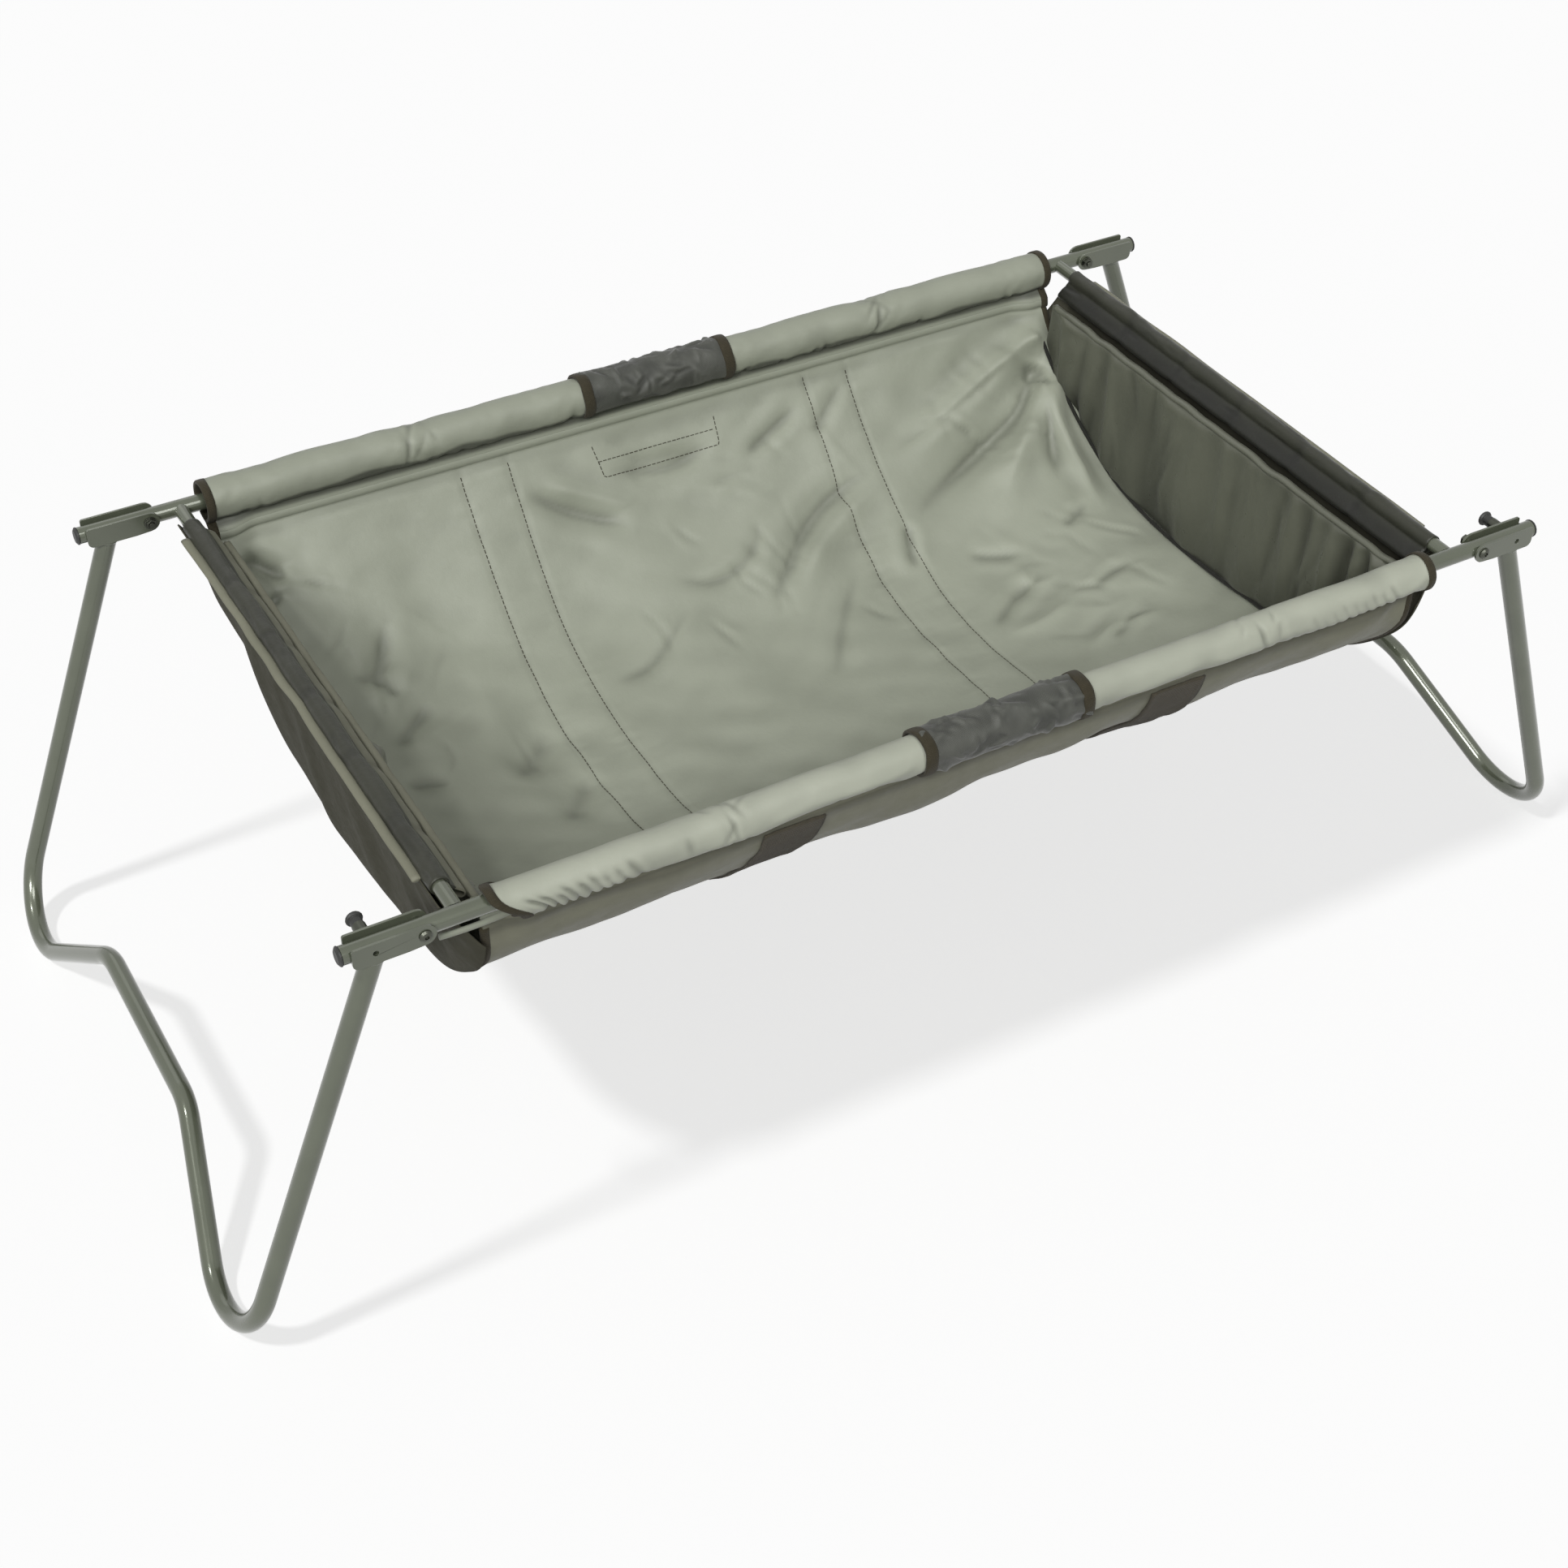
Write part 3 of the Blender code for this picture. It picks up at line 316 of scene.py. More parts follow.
@dataclass(frozen=True)
class OpenFoam(Finish):
    """Grey foam: matt, with open cells about 1 mm wide."""

    colour: str = "#4a4b49"
    cell: float = 1.0 * MM

    def build(self) -> bpy.types.Material:
        """Make the foam."""
        material, tree, shader = self.start()
        place = add_node(tree, "ShaderNodeTexCoord").outputs["Object"]
        cells = add_node(tree, "ShaderNodeTexVoronoi", inputs={"Vector": place, "Scale": 1 / self.cell})
        tone = add_node(tree, "ShaderNodeMix", {"data_type": "RGBA"},
                        {0: cells.outputs[0], 6: linear("#333432"), 7: linear(self.colour)})
        bump = add_node(tree, "ShaderNodeBump", inputs={
            "Height": cells.outputs[0], "Distance": 0.3 * MM, "Strength": 0.8})
        tree.links.new(tone.outputs[2], shader.inputs["Base Color"])
        tree.links.new(bump.outputs[0], shader.inputs["Normal"])
        shader.inputs["Roughness"].default_value = 0.95
        return material


class Palette:
    """Every finish of the cradle, built once."""

    def __init__(self) -> None:
        """Build the materials."""
        self.paint = TubePaint("green_grey_powder_coat").build()
        self.zinc = PlatedSteel("dark_zinc_plated_steel").build()
        self.spring = PlatedSteel("bright_spring_steel", "#9a9a96", 0.25).build()
        self.nylon = MouldedNylon("black_moulded_nylon").build()
        self.sage = CoatedCloth("sage_coated_polyester").build()
        # Painted light: a lighter copy of the sage cloth for the front sleeve, standing in for the stronger light on
        # it.
        self.pale_sage = CoatedCloth("pale_sage_coated_polyester", "#b1b4a5", "#a1a596").build()
        self.olive = CoatedCloth("olive_coated_polyester", "#66685b", "#585a4e", 0.32,
                                 crinkle=12 * MM, crinkle_height=0.5 * MM, shine=0.5).build()
        # Painted shade and light: a copy of the cloth that is darker than the sage for the mat's outer face, and
        # lighter than the olive for the ridges at the left end.
        self.back = CoatedCloth("uncoated_polyester_back", "#818170", "#727262", 0.6).build()
        self.drab = CoatedCloth("drab_coated_polyester", "#4c4b40", "#424137", 0.75, sheen=0.0, shine=0.12).build()
        self.dark_olive = CoatedCloth("dark_olive_coated_polyester", "#36372d", "#2c2d24", 0.42,
                                      crinkle=10 * MM, crinkle_height=0.5 * MM).build()
        self.wrap = CoatedCloth("charcoal_crinkled_nylon", "#585953", "#42443e", 0.5, 1.4 * MM, 0.16 * MM,
                                7 * MM, 0.9 * MM, 0.15).build()
        self.webbing = RibbedTape("brown_polypropylene_webbing").build()
        self.binding = RibbedTape("brown_binding_tape", "#3d382a", "#2e2a1c", 1.2 * MM, 0.15 * MM).build()
        self.black_tape = RibbedTape("black_piping_tape", "#24241f", "#1b1b17", 1.2 * MM, 0.12 * MM).build()
        self.thread = RibbedTape("dark_sewing_thread", "#4c4a3e", "#3a382e", 0.8 * MM, 0.1 * MM).build()
        self.foam = OpenFoam("grey_open_foam").build()

    def of_node(self, name: str) -> tuple[bpy.types.Material, float]:
        """The finish of a CAD node, and how far its edges are broken."""
        rules = (("spring", self.spring, 0.0), ("knob", self.nylon, 0.25), ("plug", self.nylon, 0.25),
                 ("bolt", self.zinc, 0.12), ("nut", self.zinc, 0.2), ("bush", self.zinc, 0.12),
                 ("barrel", self.zinc, 0.25), ("pin", self.zinc, 0.12), ("channel", self.paint, 0.45),
                 ("rail", self.paint, 0.2), ("crossbar", self.paint, 0.2))
        material, edge = next((finish, width) for word, finish, width in rules if word in name)
        return material, edge * MM


# Shared forms

@dataclass(frozen=True)
class CradleSizes:
    """Where the frame carries its soft goods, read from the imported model."""

    rail_y: float
    rail_height: float
    rail_radius: float
    sleeve_half: float
    crossbar_x: float
    crossbar_radius: float
    cover_half: float
    pivot_x: float

    @classmethod
    def from_frame(cls) -> "CradleSizes":
        """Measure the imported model."""
        rail_low, rail_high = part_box("rear_rail")
        bar_low, bar_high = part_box("right_crossbar")
        pivot_low, pivot_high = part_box("rear_right_pivot_bush")
        return cls(rail_y=(rail_low.y + rail_high.y) / 2,
                   rail_height=(rail_low.z + rail_high.z) / 2,
                   rail_radius=(rail_high.z - rail_low.z) / 2,
                   sleeve_half=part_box("rear_sleeve")[1].x,
                   crossbar_x=(bar_low.x + bar_high.x) / 2,
                   crossbar_radius=(bar_high.z - bar_low.z) / 2,
                   cover_half=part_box("right_bar_cover")[1].y,
                   pivot_x=(pivot_low.x + pivot_high.x) / 2)

    def tucked(self, points: np.ndarray) -> np.ndarray:
        """Draw the ends of the sleeves' webs in towards the mat, where the folded legs pass them."""
        below = self.rail_height - points[..., 2]
        near = ease((np.abs(points[..., 0]) - 0.378) / 0.026) * ease((below - 14 * MM) / (10 * MM))
        near = near * (1 - ease((below - 32 * MM) / (35 * MM)))
        moved = points.copy()
        moved[..., 1] -= 6.8 * MM * near * np.sign(points[..., 1])
        return moved


def cloth_mesh(name: str, places: np.ndarray, weave: np.ndarray, flip: bool = False,
               weld: bool = False, finishes: np.ndarray | None = None,
               hollow: np.ndarray | None = None) -> bpy.types.Mesh:
    """Make a cloth from a grid that is bent to given places.

    Args:
        name: the mesh's name.
        places: points of shape (columns, rows, 3).
        weave: UV places in metres of shape (columns, rows, 2).
        flip: turn the faces round.
        weld: sew together points that meet.
        finishes: which of its materials each row of faces has.
        hollow: how much painted shade each point takes, of shape (columns, rows).

    Returns:
        The mesh, smooth shaded.
    """
    columns, rows = places.shape[:2]
    bm = bmesh.new()
    bmesh.ops.create_grid(bm, x_segments=columns - 1, y_segments=rows - 1, size=0.5)
    if flip:
        bmesh.ops.reverse_faces(bm, faces=bm.faces)
    mesh = bpy.data.meshes.new(name)
    bm.to_mesh(mesh)
    bm.free()
    mesh.vertices.foreach_set("co", by_row(places).ravel())
    corner = np.empty(len(mesh.loops), dtype=np.int32)
    mesh.loops.foreach_get("vertex_index", corner)
    layer = mesh.uv_layers.new(name="weave")
    layer.data.foreach_set("uv", by_row(weave)[corner].ravel())
    if finishes is not None:
        mesh.polygons.foreach_set("material_index", np.repeat(finishes, columns - 1).astype(np.int32))
    # Painted shade: keep how far each point is darkened as a point attribute for the cloth finish.
    if hollow is not None:
        depth = mesh.attributes.new("hollow", "FLOAT", "POINT")
        depth.data.foreach_set("value", by_row(hollow[..., None]).ravel())
    if weld:
        bm = bmesh.new()
        bm.from_mesh(mesh)
        bmesh.ops.remove_doubles(bm, verts=bm.verts, dist=1e-5)
        bmesh.ops.dissolve_degenerate(bm, edges=bm.edges, dist=1e-6)
        bm.to_mesh(mesh)
        bm.free()
    mesh.shade_smooth()
    mesh.update()
    return mesh


def by_row(grid: np.ndarray) -> np.ndarray:
    """A grid's values in the order of a grid mesh's vertices, which runs along each row in turn."""
    return grid.swapaxes(0, 1).reshape(-1, grid.shape[2])


def resample(field: np.ndarray, columns: int, rows: int) -> np.ndarray:
    """Spread a coarse grid of moves over a finer one, along smooth curves through its points.

    Args:
        field: moves of shape (columns, rows, 3).
        columns: columns of the finer grid.
        rows: rows of the finer grid.

    Returns:
        Moves of the finer grid.
    """
    for axis, count in ((0, columns), (1, rows)):
        field = np.moveaxis(field, axis, 0)
        way = np.linspace(0, len(field) - 1, count)
        k = np.minimum(way.astype(int), len(field) - 2)
        t = (way - k).reshape(-1, 1, 1)
        wide = np.concatenate([field[:1], field, field[-1:]])
        a, b, c, d = (wide[k + m] for m in range(4))
        field = 0.5 * (2 * b + (c - a) * t + (2 * a - 5 * b + 4 * c - d) * t ** 2
                       + (3 * b - a - 3 * c + d) * t ** 3)
        field = np.moveaxis(field, 0, axis)
    return field


@dataclass(frozen=True)
class ClothRun:
    """A short cloth simulation: the cloth grows against what holds it, and buckles into puckers.

    Growth is a share of the cloth's size. No point moves further than the cap.
    """

    frames: int = 20
    growth: float = 0.03
    pressure: float = 0.0
    gravity: float = 0.0
    bending: float = 0.05
    cap: float = 3 * MM

    def moves(self, places: np.ndarray, held: np.ndarray, flip: bool = False,
              core: bpy.types.Object | None = None) -> np.ndarray:
        """Run the simulation on an open grid.

        Args:
            places: points of shape (columns, rows, 3).
            held: how firmly each point is held, from 0 to 1, of shape (columns, rows).
            flip: turn the faces round, so that pressure pushes the other way.
            core: a piece that the cloth lies on.

        Returns: How far each point moves.
        """
        scene = bpy.context.scene
        mesh = cloth_mesh("cloth_run", places, places[..., :2], flip)
        piece = bpy.data.objects.new("cloth_run", mesh)
        scene.collection.objects.link(piece)
        pins = piece.vertex_groups.new(name="held")
        for index, weight in enumerate(by_row(held[..., None]).ravel()):
            if weight > 0:
                pins.add([index], float(weight), "REPLACE")
        cloth = piece.modifiers.new("cloth", "CLOTH")
        settings = cloth.settings
        settings.quality = 4
        settings.mass = 0.15
        settings.tension_stiffness = 20
        settings.compression_stiffness = 20
        settings.shear_stiffness = 8
        settings.bending_stiffness = self.bending
        settings.air_damping = 2
        settings.use_pressure = self.pressure > 0
        settings.uniform_pressure_force = self.pressure
        settings.vertex_group_mass = pins.name
        settings.shrink_min = -self.growth
        settings.shrink_max = -self.growth
        settings.effector_weights.gravity = self.gravity
        cloth.collision_settings.use_collision = core is not None
        cloth.collision_settings.distance_min = 0.8 * MM
        cloth.point_cache.frame_end = self.frames + 1
        if core is not None:
            core.modifiers.new("core", "COLLISION")
            core.collision.thickness_outer = 0.8 * MM
        for number in range(1, self.frames + 1):
            scene.frame_set(number)
        graph = bpy.context.evaluated_depsgraph_get()
        after = np.empty(len(mesh.vertices) * 3)
        piece.evaluated_get(graph).data.vertices.foreach_get("co", after)
        after = after.reshape(places.shape[1], places.shape[0], 3).swapaxes(0, 1)
        bpy.data.objects.remove(piece, do_unlink=True)
        bpy.data.meshes.remove(mesh)
        if core is not None:
            core.modifiers.clear()
        scene.frame_set(1)
        move = after - places
        size = np.linalg.norm(move, axis=-1, keepdims=True)
        log.info("cloth run moved points by up to %.1f mm", 1000 * size.max())
        move = move * np.tanh(size / self.cap) * self.cap / np.maximum(size, 1e-9)
        for axis in (0, 1, 0, 1):
            wide = np.concatenate([move.take([0], axis), move, move.take([-1], axis)], axis=axis)
            middle = wide.take(range(1, wide.shape[axis] - 1), axis)
            move = (wide.take(range(wide.shape[axis] - 2), axis) + 2 * middle
                    + wide.take(range(2, wide.shape[axis]), axis)) / 4
        return move


def add_piece(name: str, mesh: bpy.types.Mesh, material: bpy.types.Material) -> bpy.types.Object:
    """Add a finished mesh to the scene as a piece."""
    piece = bpy.data.objects.new(name, mesh)
    bpy.context.scene.collection.objects.link(piece)
    mesh.materials.append(material)
    log.info("built %s with %d faces", name, len(mesh.polygons))
    return piece


def settle(piece: bpy.types.Object) -> None:
    """Apply a piece's modifiers to its mesh."""
    graph = bpy.context.evaluated_depsgraph_get()
    mesh = bpy.data.meshes.new_from_object(piece.evaluated_get(graph), preserve_all_data_layers=True,
                                           depsgraph=graph)
    old = piece.data
    piece.modifiers.clear()
    piece.data = mesh
    bpy.data.meshes.remove(old)
    piece.data.name = piece.name


def waves(u: np.ndarray, v: np.ndarray, seed: int, length: float, height: float, count: int = 14) -> np.ndarray:
    """Gentle waves over a cloth, summed from sines of many directions.

    Args:
        u: places along the cloth in metres.
        v: places across it in metres.
        seed: which waves are drawn.
        length: the usual wave length.
        height: the usual height.
        count: how many waves are summed.

    Returns:
        The height at each place.
    """
    draw = np.random.default_rng(seed)
    total = np.zeros_like(u)
    for _ in range(count):
        turn = draw.uniform(0, 2 * math.pi)
        size = length * draw.uniform(0.6, 1.7)
        phase = draw.uniform(0, 2 * math.pi)
        total += np.sin(2 * math.pi * (u * math.cos(turn) + v * math.sin(turn)) / size + phase)
    return height * total / math.sqrt(count / 2)


@dataclass(frozen=True)
class Crease:
    """A fold along a line on a cloth: half width and height in metres, a height below 0 for a valley.

    A fold tapers out over the shares of its length given by fade_in and fade_out.
    """

    line: tuple[tuple[float, float], ...]
    width: float
    height: float
    fade_in: float = 0.35
    fade_out: float = 0.35

    def smooth_line(self, stretch: float) -> np.ndarray:
        """The line as a smooth curve in metres, where a share of the cloth's width is stretched to metres."""
        points = np.array(self.line) * (1.0, stretch)
        if len(points) == 2:
            return points
        padded = np.vstack([2 * points[0] - points[1], points, 2 * points[-1] - points[-2]])
        curve = []
        for a, b, c, d in zip(padded, padded[1:], padded[2:], padded[3:]):
            for t in np.linspace(0, 1, 6)[:-1]:
                curve.append(0.5 * (2 * b + (c - a) * t + (2 * a - 5 * b + 4 * c - d) * t ** 2
                                    + (3 * b - a - 3 * c + d) * t ** 3))
        curve.append(points[-1])
        return np.array(curve)

    def lift(self, u: np.ndarray, v: np.ndarray, stretch: float) -> np.ndarray:
        """How far the fold lifts the cloth.

        Args:
            u: places along the cloth in metres.
            v: places across it in metres.
            stretch: metres across the cloth for each share of the fold's own line.

        Returns:
            The height at each place.
        """
        line = self.smooth_line(stretch)
        runs = np.linalg.norm(np.diff(line, axis=0), axis=1)
        length = runs.sum()
        best = np.full(u.shape, 1e9)
        side = np.zeros(u.shape)
        along = np.zeros(u.shape)
        done = 0.0
        for start, end, run in zip(line, line[1:], runs):
            du, dv = (end - start) / run
            step = np.clip((u - start[0]) * du + (v - start[1]) * dv, 0, run)
            away_u = u - start[0] - du * step
            away_v = v - start[1] - dv * step
            gap = np.hypot(away_u, away_v)
            near = gap < best
            best = np.where(near, gap, best)
            side = np.where(near, np.sign(du * away_v - dv * away_u), side)
            along = np.where(near, (done + step) / length, along)
            done += run
        taper = ease((along + 0.02) / max(self.fade_in, 1e-3)) * ease((1.02 - along) / max(self.fade_out, 1e-3))
        across = best / self.width
        lean = 1 + 0.25 * np.tanh(side * across)
        crest = np.exp(-1.15 * (across ** 2 + 0.02) ** 0.65) * lean
        shoulder = 0.26 * np.exp(-((across - 2.0) / 1.1) ** 2)
        return self.height * taper * (crest - shoulder)


@dataclass(frozen=True)
class RollOutline:
    """A roll with a sewn web that hangs from it, seen along it, as (inward, up) about the tube inside.

    The roll's centre lies below the tube by its sag.
    """

    radius: float
    reach: float
    web: float
    tip: float
    lean: float
    sag: float = 0.0
    fillet: float = 1.1 * MM

    @cached_property
    def curve(self) -> np.ndarray:
        """Points once round, from the web's tip up its inner side."""
        leave = math.asin(self.web / self.radius)
        round_turn = np.linspace(leave, math.pi, 160)
        tip_turn = np.linspace(0, math.pi / 2, 12)
        web_along = np.linspace(self.reach, self.radius * math.cos(leave), 60)
        web_half = np.interp(web_along, [self.radius * math.cos(leave), self.reach], [self.web, self.tip])
        along = np.concatenate([self.reach + self.tip * np.cos(tip_turn), web_along[1:-1],
                                self.radius * np.cos(round_turn)])
        across = np.concatenate([self.tip * np.sin(tip_turn), web_half[1:-1], self.radius * np.sin(round_turn)])
        along = np.concatenate([along, along[-2::-1]])
        across = np.concatenate([across, -across[-2::-1]])
        down = -math.pi / 2 + self.lean
        points = np.stack([along * math.cos(down) - across * math.sin(down),
                           along * math.sin(down) + across * math.cos(down)], axis=1)
        way = np.concatenate([[0], np.cumsum(np.linalg.norm(np.diff(points, axis=0), axis=1))])
        even = np.linspace(0, way[-1], 600)
        points = np.stack([np.interp(even, way, points[:, k]) for k in range(2)], axis=1)
        spread = max(1, round(self.fillet / even[1]))
        kernel = np.hanning(2 * spread + 3)[1:-1]
        smooth = [np.convolve(np.pad(points[:, k], spread, "wrap"), kernel / kernel.sum(), "valid") for k in (0, 1)]
        return np.stack(smooth, axis=1)

    def girth(self) -> float:
        """Length once round."""
        return float(np.linalg.norm(np.diff(self.curve, axis=0), axis=1).sum())

    def at(self, share: np.ndarray, lift: np.ndarray | float = 0.0) -> tuple[np.ndarray, np.ndarray]:
        """Places on the outline.

        Args:
            share: shares of the way round, from the web's tip up its inner side.
            lift: how far outside the outline each place lies.

        Returns:
            Inward and up coordinates.
        """
        curve = self.curve
        run = np.gradient(curve, axis=0)
        run /= np.linalg.norm(run, axis=1, keepdims=True)
        even = np.linspace(0, 1, len(curve))
        inward, up, out_inward, out_up = (np.interp(share, even, values) for values in
                                          (curve[:, 0], curve[:, 1], run[:, 1], -run[:, 0]))
        return inward + lift * out_inward, up - self.sag + lift * out_up


@dataclass(frozen=True)
class TroughForm:
    """The hung mat's inner face without its folds.

    Its front and rear halves list places from a seam to the middle, as shares of the half width and the drop.
    """

    rail_height: float
    half: float = 0.418
    edge_y: float = 0.2725
    seam_drop: float = 0.0310
    depth: float = 0.187
    end_depth: float = 0.157
    level_half: float = 0.200
    end_flat: float = 0.020
    left_rise: float = 10 * MM
    front: tuple[tuple[float, float], ...] = (
        (1.0, 0.0), (0.995, 0.12), (0.95, 0.29), (0.85, 0.46), (0.74, 0.64), (0.6, 0.82), (0.45, 0.92),
        (0.22, 0.985), (0.0, 1.0))
    rear: tuple[tuple[float, float], ...] = (
        (1.0, 0.0), (0.925, 0.19), (0.845, 0.37), (0.653, 0.66), (0.43, 0.90), (0.22, 0.98), (0.0, 1.0))

    def depth_at(self, x: np.ndarray) -> np.ndarray:
        """Depth below the rails at places along the mat."""
        span = self.half - self.end_flat - self.level_half
        return self.depth + (self.end_depth - self.depth) * ease((np.abs(x) - self.level_half) / span)

    @cached_property
    def curve(self) -> np.ndarray:
        """The smoothed section from the front seam to the rear one, evenly spaced along the cloth."""
        scale = np.array((self.edge_y, self.depth - self.seam_drop))
        line = np.concatenate([np.array(self.front) * (-1, 1), np.array(self.rear)[-2::-1]]) * scale
        for spread in (0.0, 0.035, 0.025):
            way = np.concatenate([[0], np.cumsum(np.linalg.norm(np.diff(line, axis=0), axis=1))])
            even = np.linspace(0, way[-1], 401)
            line = np.stack([np.interp(even, way, line[:, k]) for k in (0, 1)], axis=1)
            wide = round(spread / even[1])
            kernel = np.hanning(2 * wide + 3)[1:-1]
            line = np.stack([np.convolve(np.pad(line[:, k], wide, "reflect", reflect_type="odd"),
                                         kernel / kernel.sum(), "valid") for k in (0, 1)], axis=1)
        middle = np.interp(0.0, line[:, 0], even)
        halves = np.interp(np.linspace(0, 1, 401), [0, 0.5, 1], [0, middle, even[-1]])
        return np.stack([np.interp(halves, even, line[:, k]) for k in (0, 1)], axis=1) / scale

    def points(self, x: np.ndarray, share: np.ndarray) -> np.ndarray:
        """Points by their place along the mat and their share of the way from the front to the rear seam."""
        even = np.linspace(0, 1, len(self.curve))
        across, drop = (np.interp(share, even, self.curve[:, k]) for k in (0, 1))
        rise = (self.depth - self.depth_at(x)) * ease((share - 0.12) / 0.26)
        rise = rise + self.left_rise * ease((-x - 0.24) / 0.17) * ease((share - 0.01) / 0.12) * (
            1 - ease((share - 0.26) / 0.26))
        z = self.rail_height - self.seam_drop - (self.depth - rise - self.seam_drop) * drop
        return np.stack([x + 0 * across, self.edge_y * across, z], axis=-1)

    def inward(self, x: np.ndarray, share: np.ndarray) -> np.ndarray:
        """Directions off the face, towards the middle of the trough."""
        step = 0.006
        along = self.points(x + step, share) - self.points(x - step, share)
        across = self.points(x, np.minimum(share + step, 1.0)) - self.points(x, np.maximum(share - step, 0.0))
        normal = np.cross(along, across)
        return normal / np.linalg.norm(normal, axis=-1, keepdims=True)

    def girth(self) -> float:
        """Length from seam to seam at the middle."""
        line = self.points(np.zeros(200), np.linspace(0, 1, 200))
        return float(np.linalg.norm(np.diff(line, axis=0), axis=1).sum())


# Mat

@dataclass(frozen=True)
class HungMat:
    """The mat that hangs between the sleeves, with its folds and sewn lines."""

    form: TroughForm
    sizes: CradleSizes
    tails: tuple[RollOutline, RollOutline]
    thickness: float = 4.2 * MM
    columns: int = 265
    front_rows: int = 40
    rear_rows: int = 130
    strap_x: float = 0.173
    strap_seam: float = 22.5 * MM
    seam_width: float = 2.6 * MM
    seam_depth: float = 1.0 * MM
    lap: float = 8.5 * MM
    cloth_run: ClothRun = ClothRun(frames=18, growth=0.006, gravity=0.4, bending=0.4, cap=4 * MM)

    def folds(self) -> tuple[Crease, ...]:
        """The folds that the mat falls in, as places along it and shares across it."""
        return (
            # The rear right corner, where the mat turns up to the panel
            Crease(((0.393, 0.907), (0.356, 0.845), (0.295, 0.810), (0.232, 0.773), (0.203, 0.736)), 0.015, -0.018,
                   0.06, 0.5),
            Crease(((0.402, 0.954), (0.322, 0.905), (0.228, 0.849), (0.195, 0.839)), 0.013, 0.009, 0.06, 0.5),
            Crease(((0.390, 0.880), (0.352, 0.812), (0.316, 0.753), (0.290, 0.700)), 0.016, 0.011, 0.06, 0.6),
            Crease(((0.388, 0.874), (0.383, 0.736), (0.378, 0.635)), 0.008, 0.007, 0.06, 0.4),
            Crease(((0.394, 0.885), (0.376, 0.800), (0.352, 0.700)), 0.007, -0.005, 0.06, 0.5),
            Crease(((0.384, 0.933), (0.296, 0.883), (0.210, 0.852)), 0.006, -0.0035),
            # Pulls across the right strap
            Crease(((0.197, 0.839), (0.153, 0.828), (0.104, 0.788), (0.060, 0.728),
                    (0.032, 0.692)), 0.01, -0.0078),
            Crease(((0.201, 0.818), (0.156, 0.800), (0.109, 0.760), (0.068, 0.699)), 0.014, 0.0065),
            Crease(((0.200, 0.756), (0.189, 0.703), (0.189, 0.676)), 0.006, -0.0052),
            Crease(((0.139, 0.956), (0.104, 0.932), (0.066, 0.906)), 0.007, -0.0052),
            Crease(((0.064, 0.825), (0.044, 0.779), (0.004, 0.755), (-0.043, 0.773)), 0.006, -0.0036),
            Crease(((0.190, 0.969), (0.167, 0.942), (0.141, 0.905)), 0.007, -0.0033),
            Crease(((0.138, 0.717), (0.093, 0.640), (0.050, 0.548)), 0.008, -0.0039),
            # Ripples at the right panel's foot
            Crease(((0.332, 0.641), (0.370, 0.667)), 0.006, -0.0039),
            Crease(((0.287, 0.636), (0.262, 0.656), (0.237, 0.674)), 0.006, -0.0039),
            Crease(((0.292, 0.589), (0.252, 0.578), (0.213, 0.538)), 0.007, -0.0046),
            Crease(((0.359, 0.529), (0.338, 0.533), (0.312, 0.524)), 0.006, -0.0046),
            Crease(((0.336, 0.436), (0.317, 0.441), (0.285, 0.419)), 0.006, -0.0046),
            Crease(((0.273, 0.628), (0.275, 0.580), (0.304, 0.575)), 0.008, 0.0039),
            Crease(((0.260, 0.421), (0.297, 0.436), (0.347, 0.422)), 0.008, 0.0039),
            Crease(((0.216, 0.515), (0.257, 0.510), (0.298, 0.522)), 0.01, 0.0046),
            # Drag below the rear grip
            Crease(((-0.067, 0.941), (-0.003, 0.923), (0.049, 0.941)), 0.009, -0.0059),
            Crease(((-0.146, 0.946), (-0.105, 0.904), (-0.053, 0.861)), 0.009, -0.0065),
            Crease(((-0.137, 0.955), (-0.090, 0.919), (-0.034, 0.881)), 0.01, 0.0039),
            Crease(((-0.049, 0.959), (-0.020, 0.941), (0.021, 0.940)), 0.007, -0.0026),
            # Dents on the left
            Crease(((-0.300, 0.823), (-0.326, 0.757), (-0.354, 0.758)), 0.01, -0.0078),
            Crease(((-0.328, 0.754), (-0.321, 0.734), (-0.317, 0.710)), 0.008, -0.0065),
            Crease(((-0.290, 0.700), (-0.315, 0.672), (-0.341, 0.634)), 0.009, -0.0065),
            Crease(((-0.353, 0.566), (-0.331, 0.571), (-0.311, 0.559)), 0.009, -0.0046),
            Crease(((-0.205, 0.627), (-0.231, 0.587), (-0.260, 0.542)), 0.016, -0.0078),
            Crease(((-0.196, 0.536), (-0.216, 0.501), (-0.243, 0.449)), 0.016, -0.0078),
            Crease(((-0.403, 0.964), (-0.385, 0.937), (-0.367, 0.910)), 0.01, -0.0104),
            Crease(((-0.390, 0.896), (-0.382, 0.881)), 0.007, -0.0052),
            Crease(((-0.034, 0.733), (-0.089, 0.672), (-0.135, 0.658)), 0.007, -0.0039),
            Crease(((-0.338, 0.842), (-0.309, 0.904), (-0.242, 0.937)), 0.03, 0.0052),
            Crease(((-0.254, 0.766), (-0.245, 0.689), (-0.266, 0.594)), 0.03, 0.0052),
        )

    def seams(self) -> tuple[float, ...]:
        """Places along the mat of the lines of stitches that hold the straps."""
        return tuple(side * self.strap_x + edge * self.strap_seam for side in (-1, 1) for edge in (-1, 1))

    def shares(self) -> np.ndarray:
        """Shares of the way across for the mat's rows, closer together on the side that shows its folds."""
        front = np.linspace(0, 0.4, self.front_rows, endpoint=False)
        return np.concatenate([front, np.linspace(0.4, 1.0, self.rear_rows + 1)])

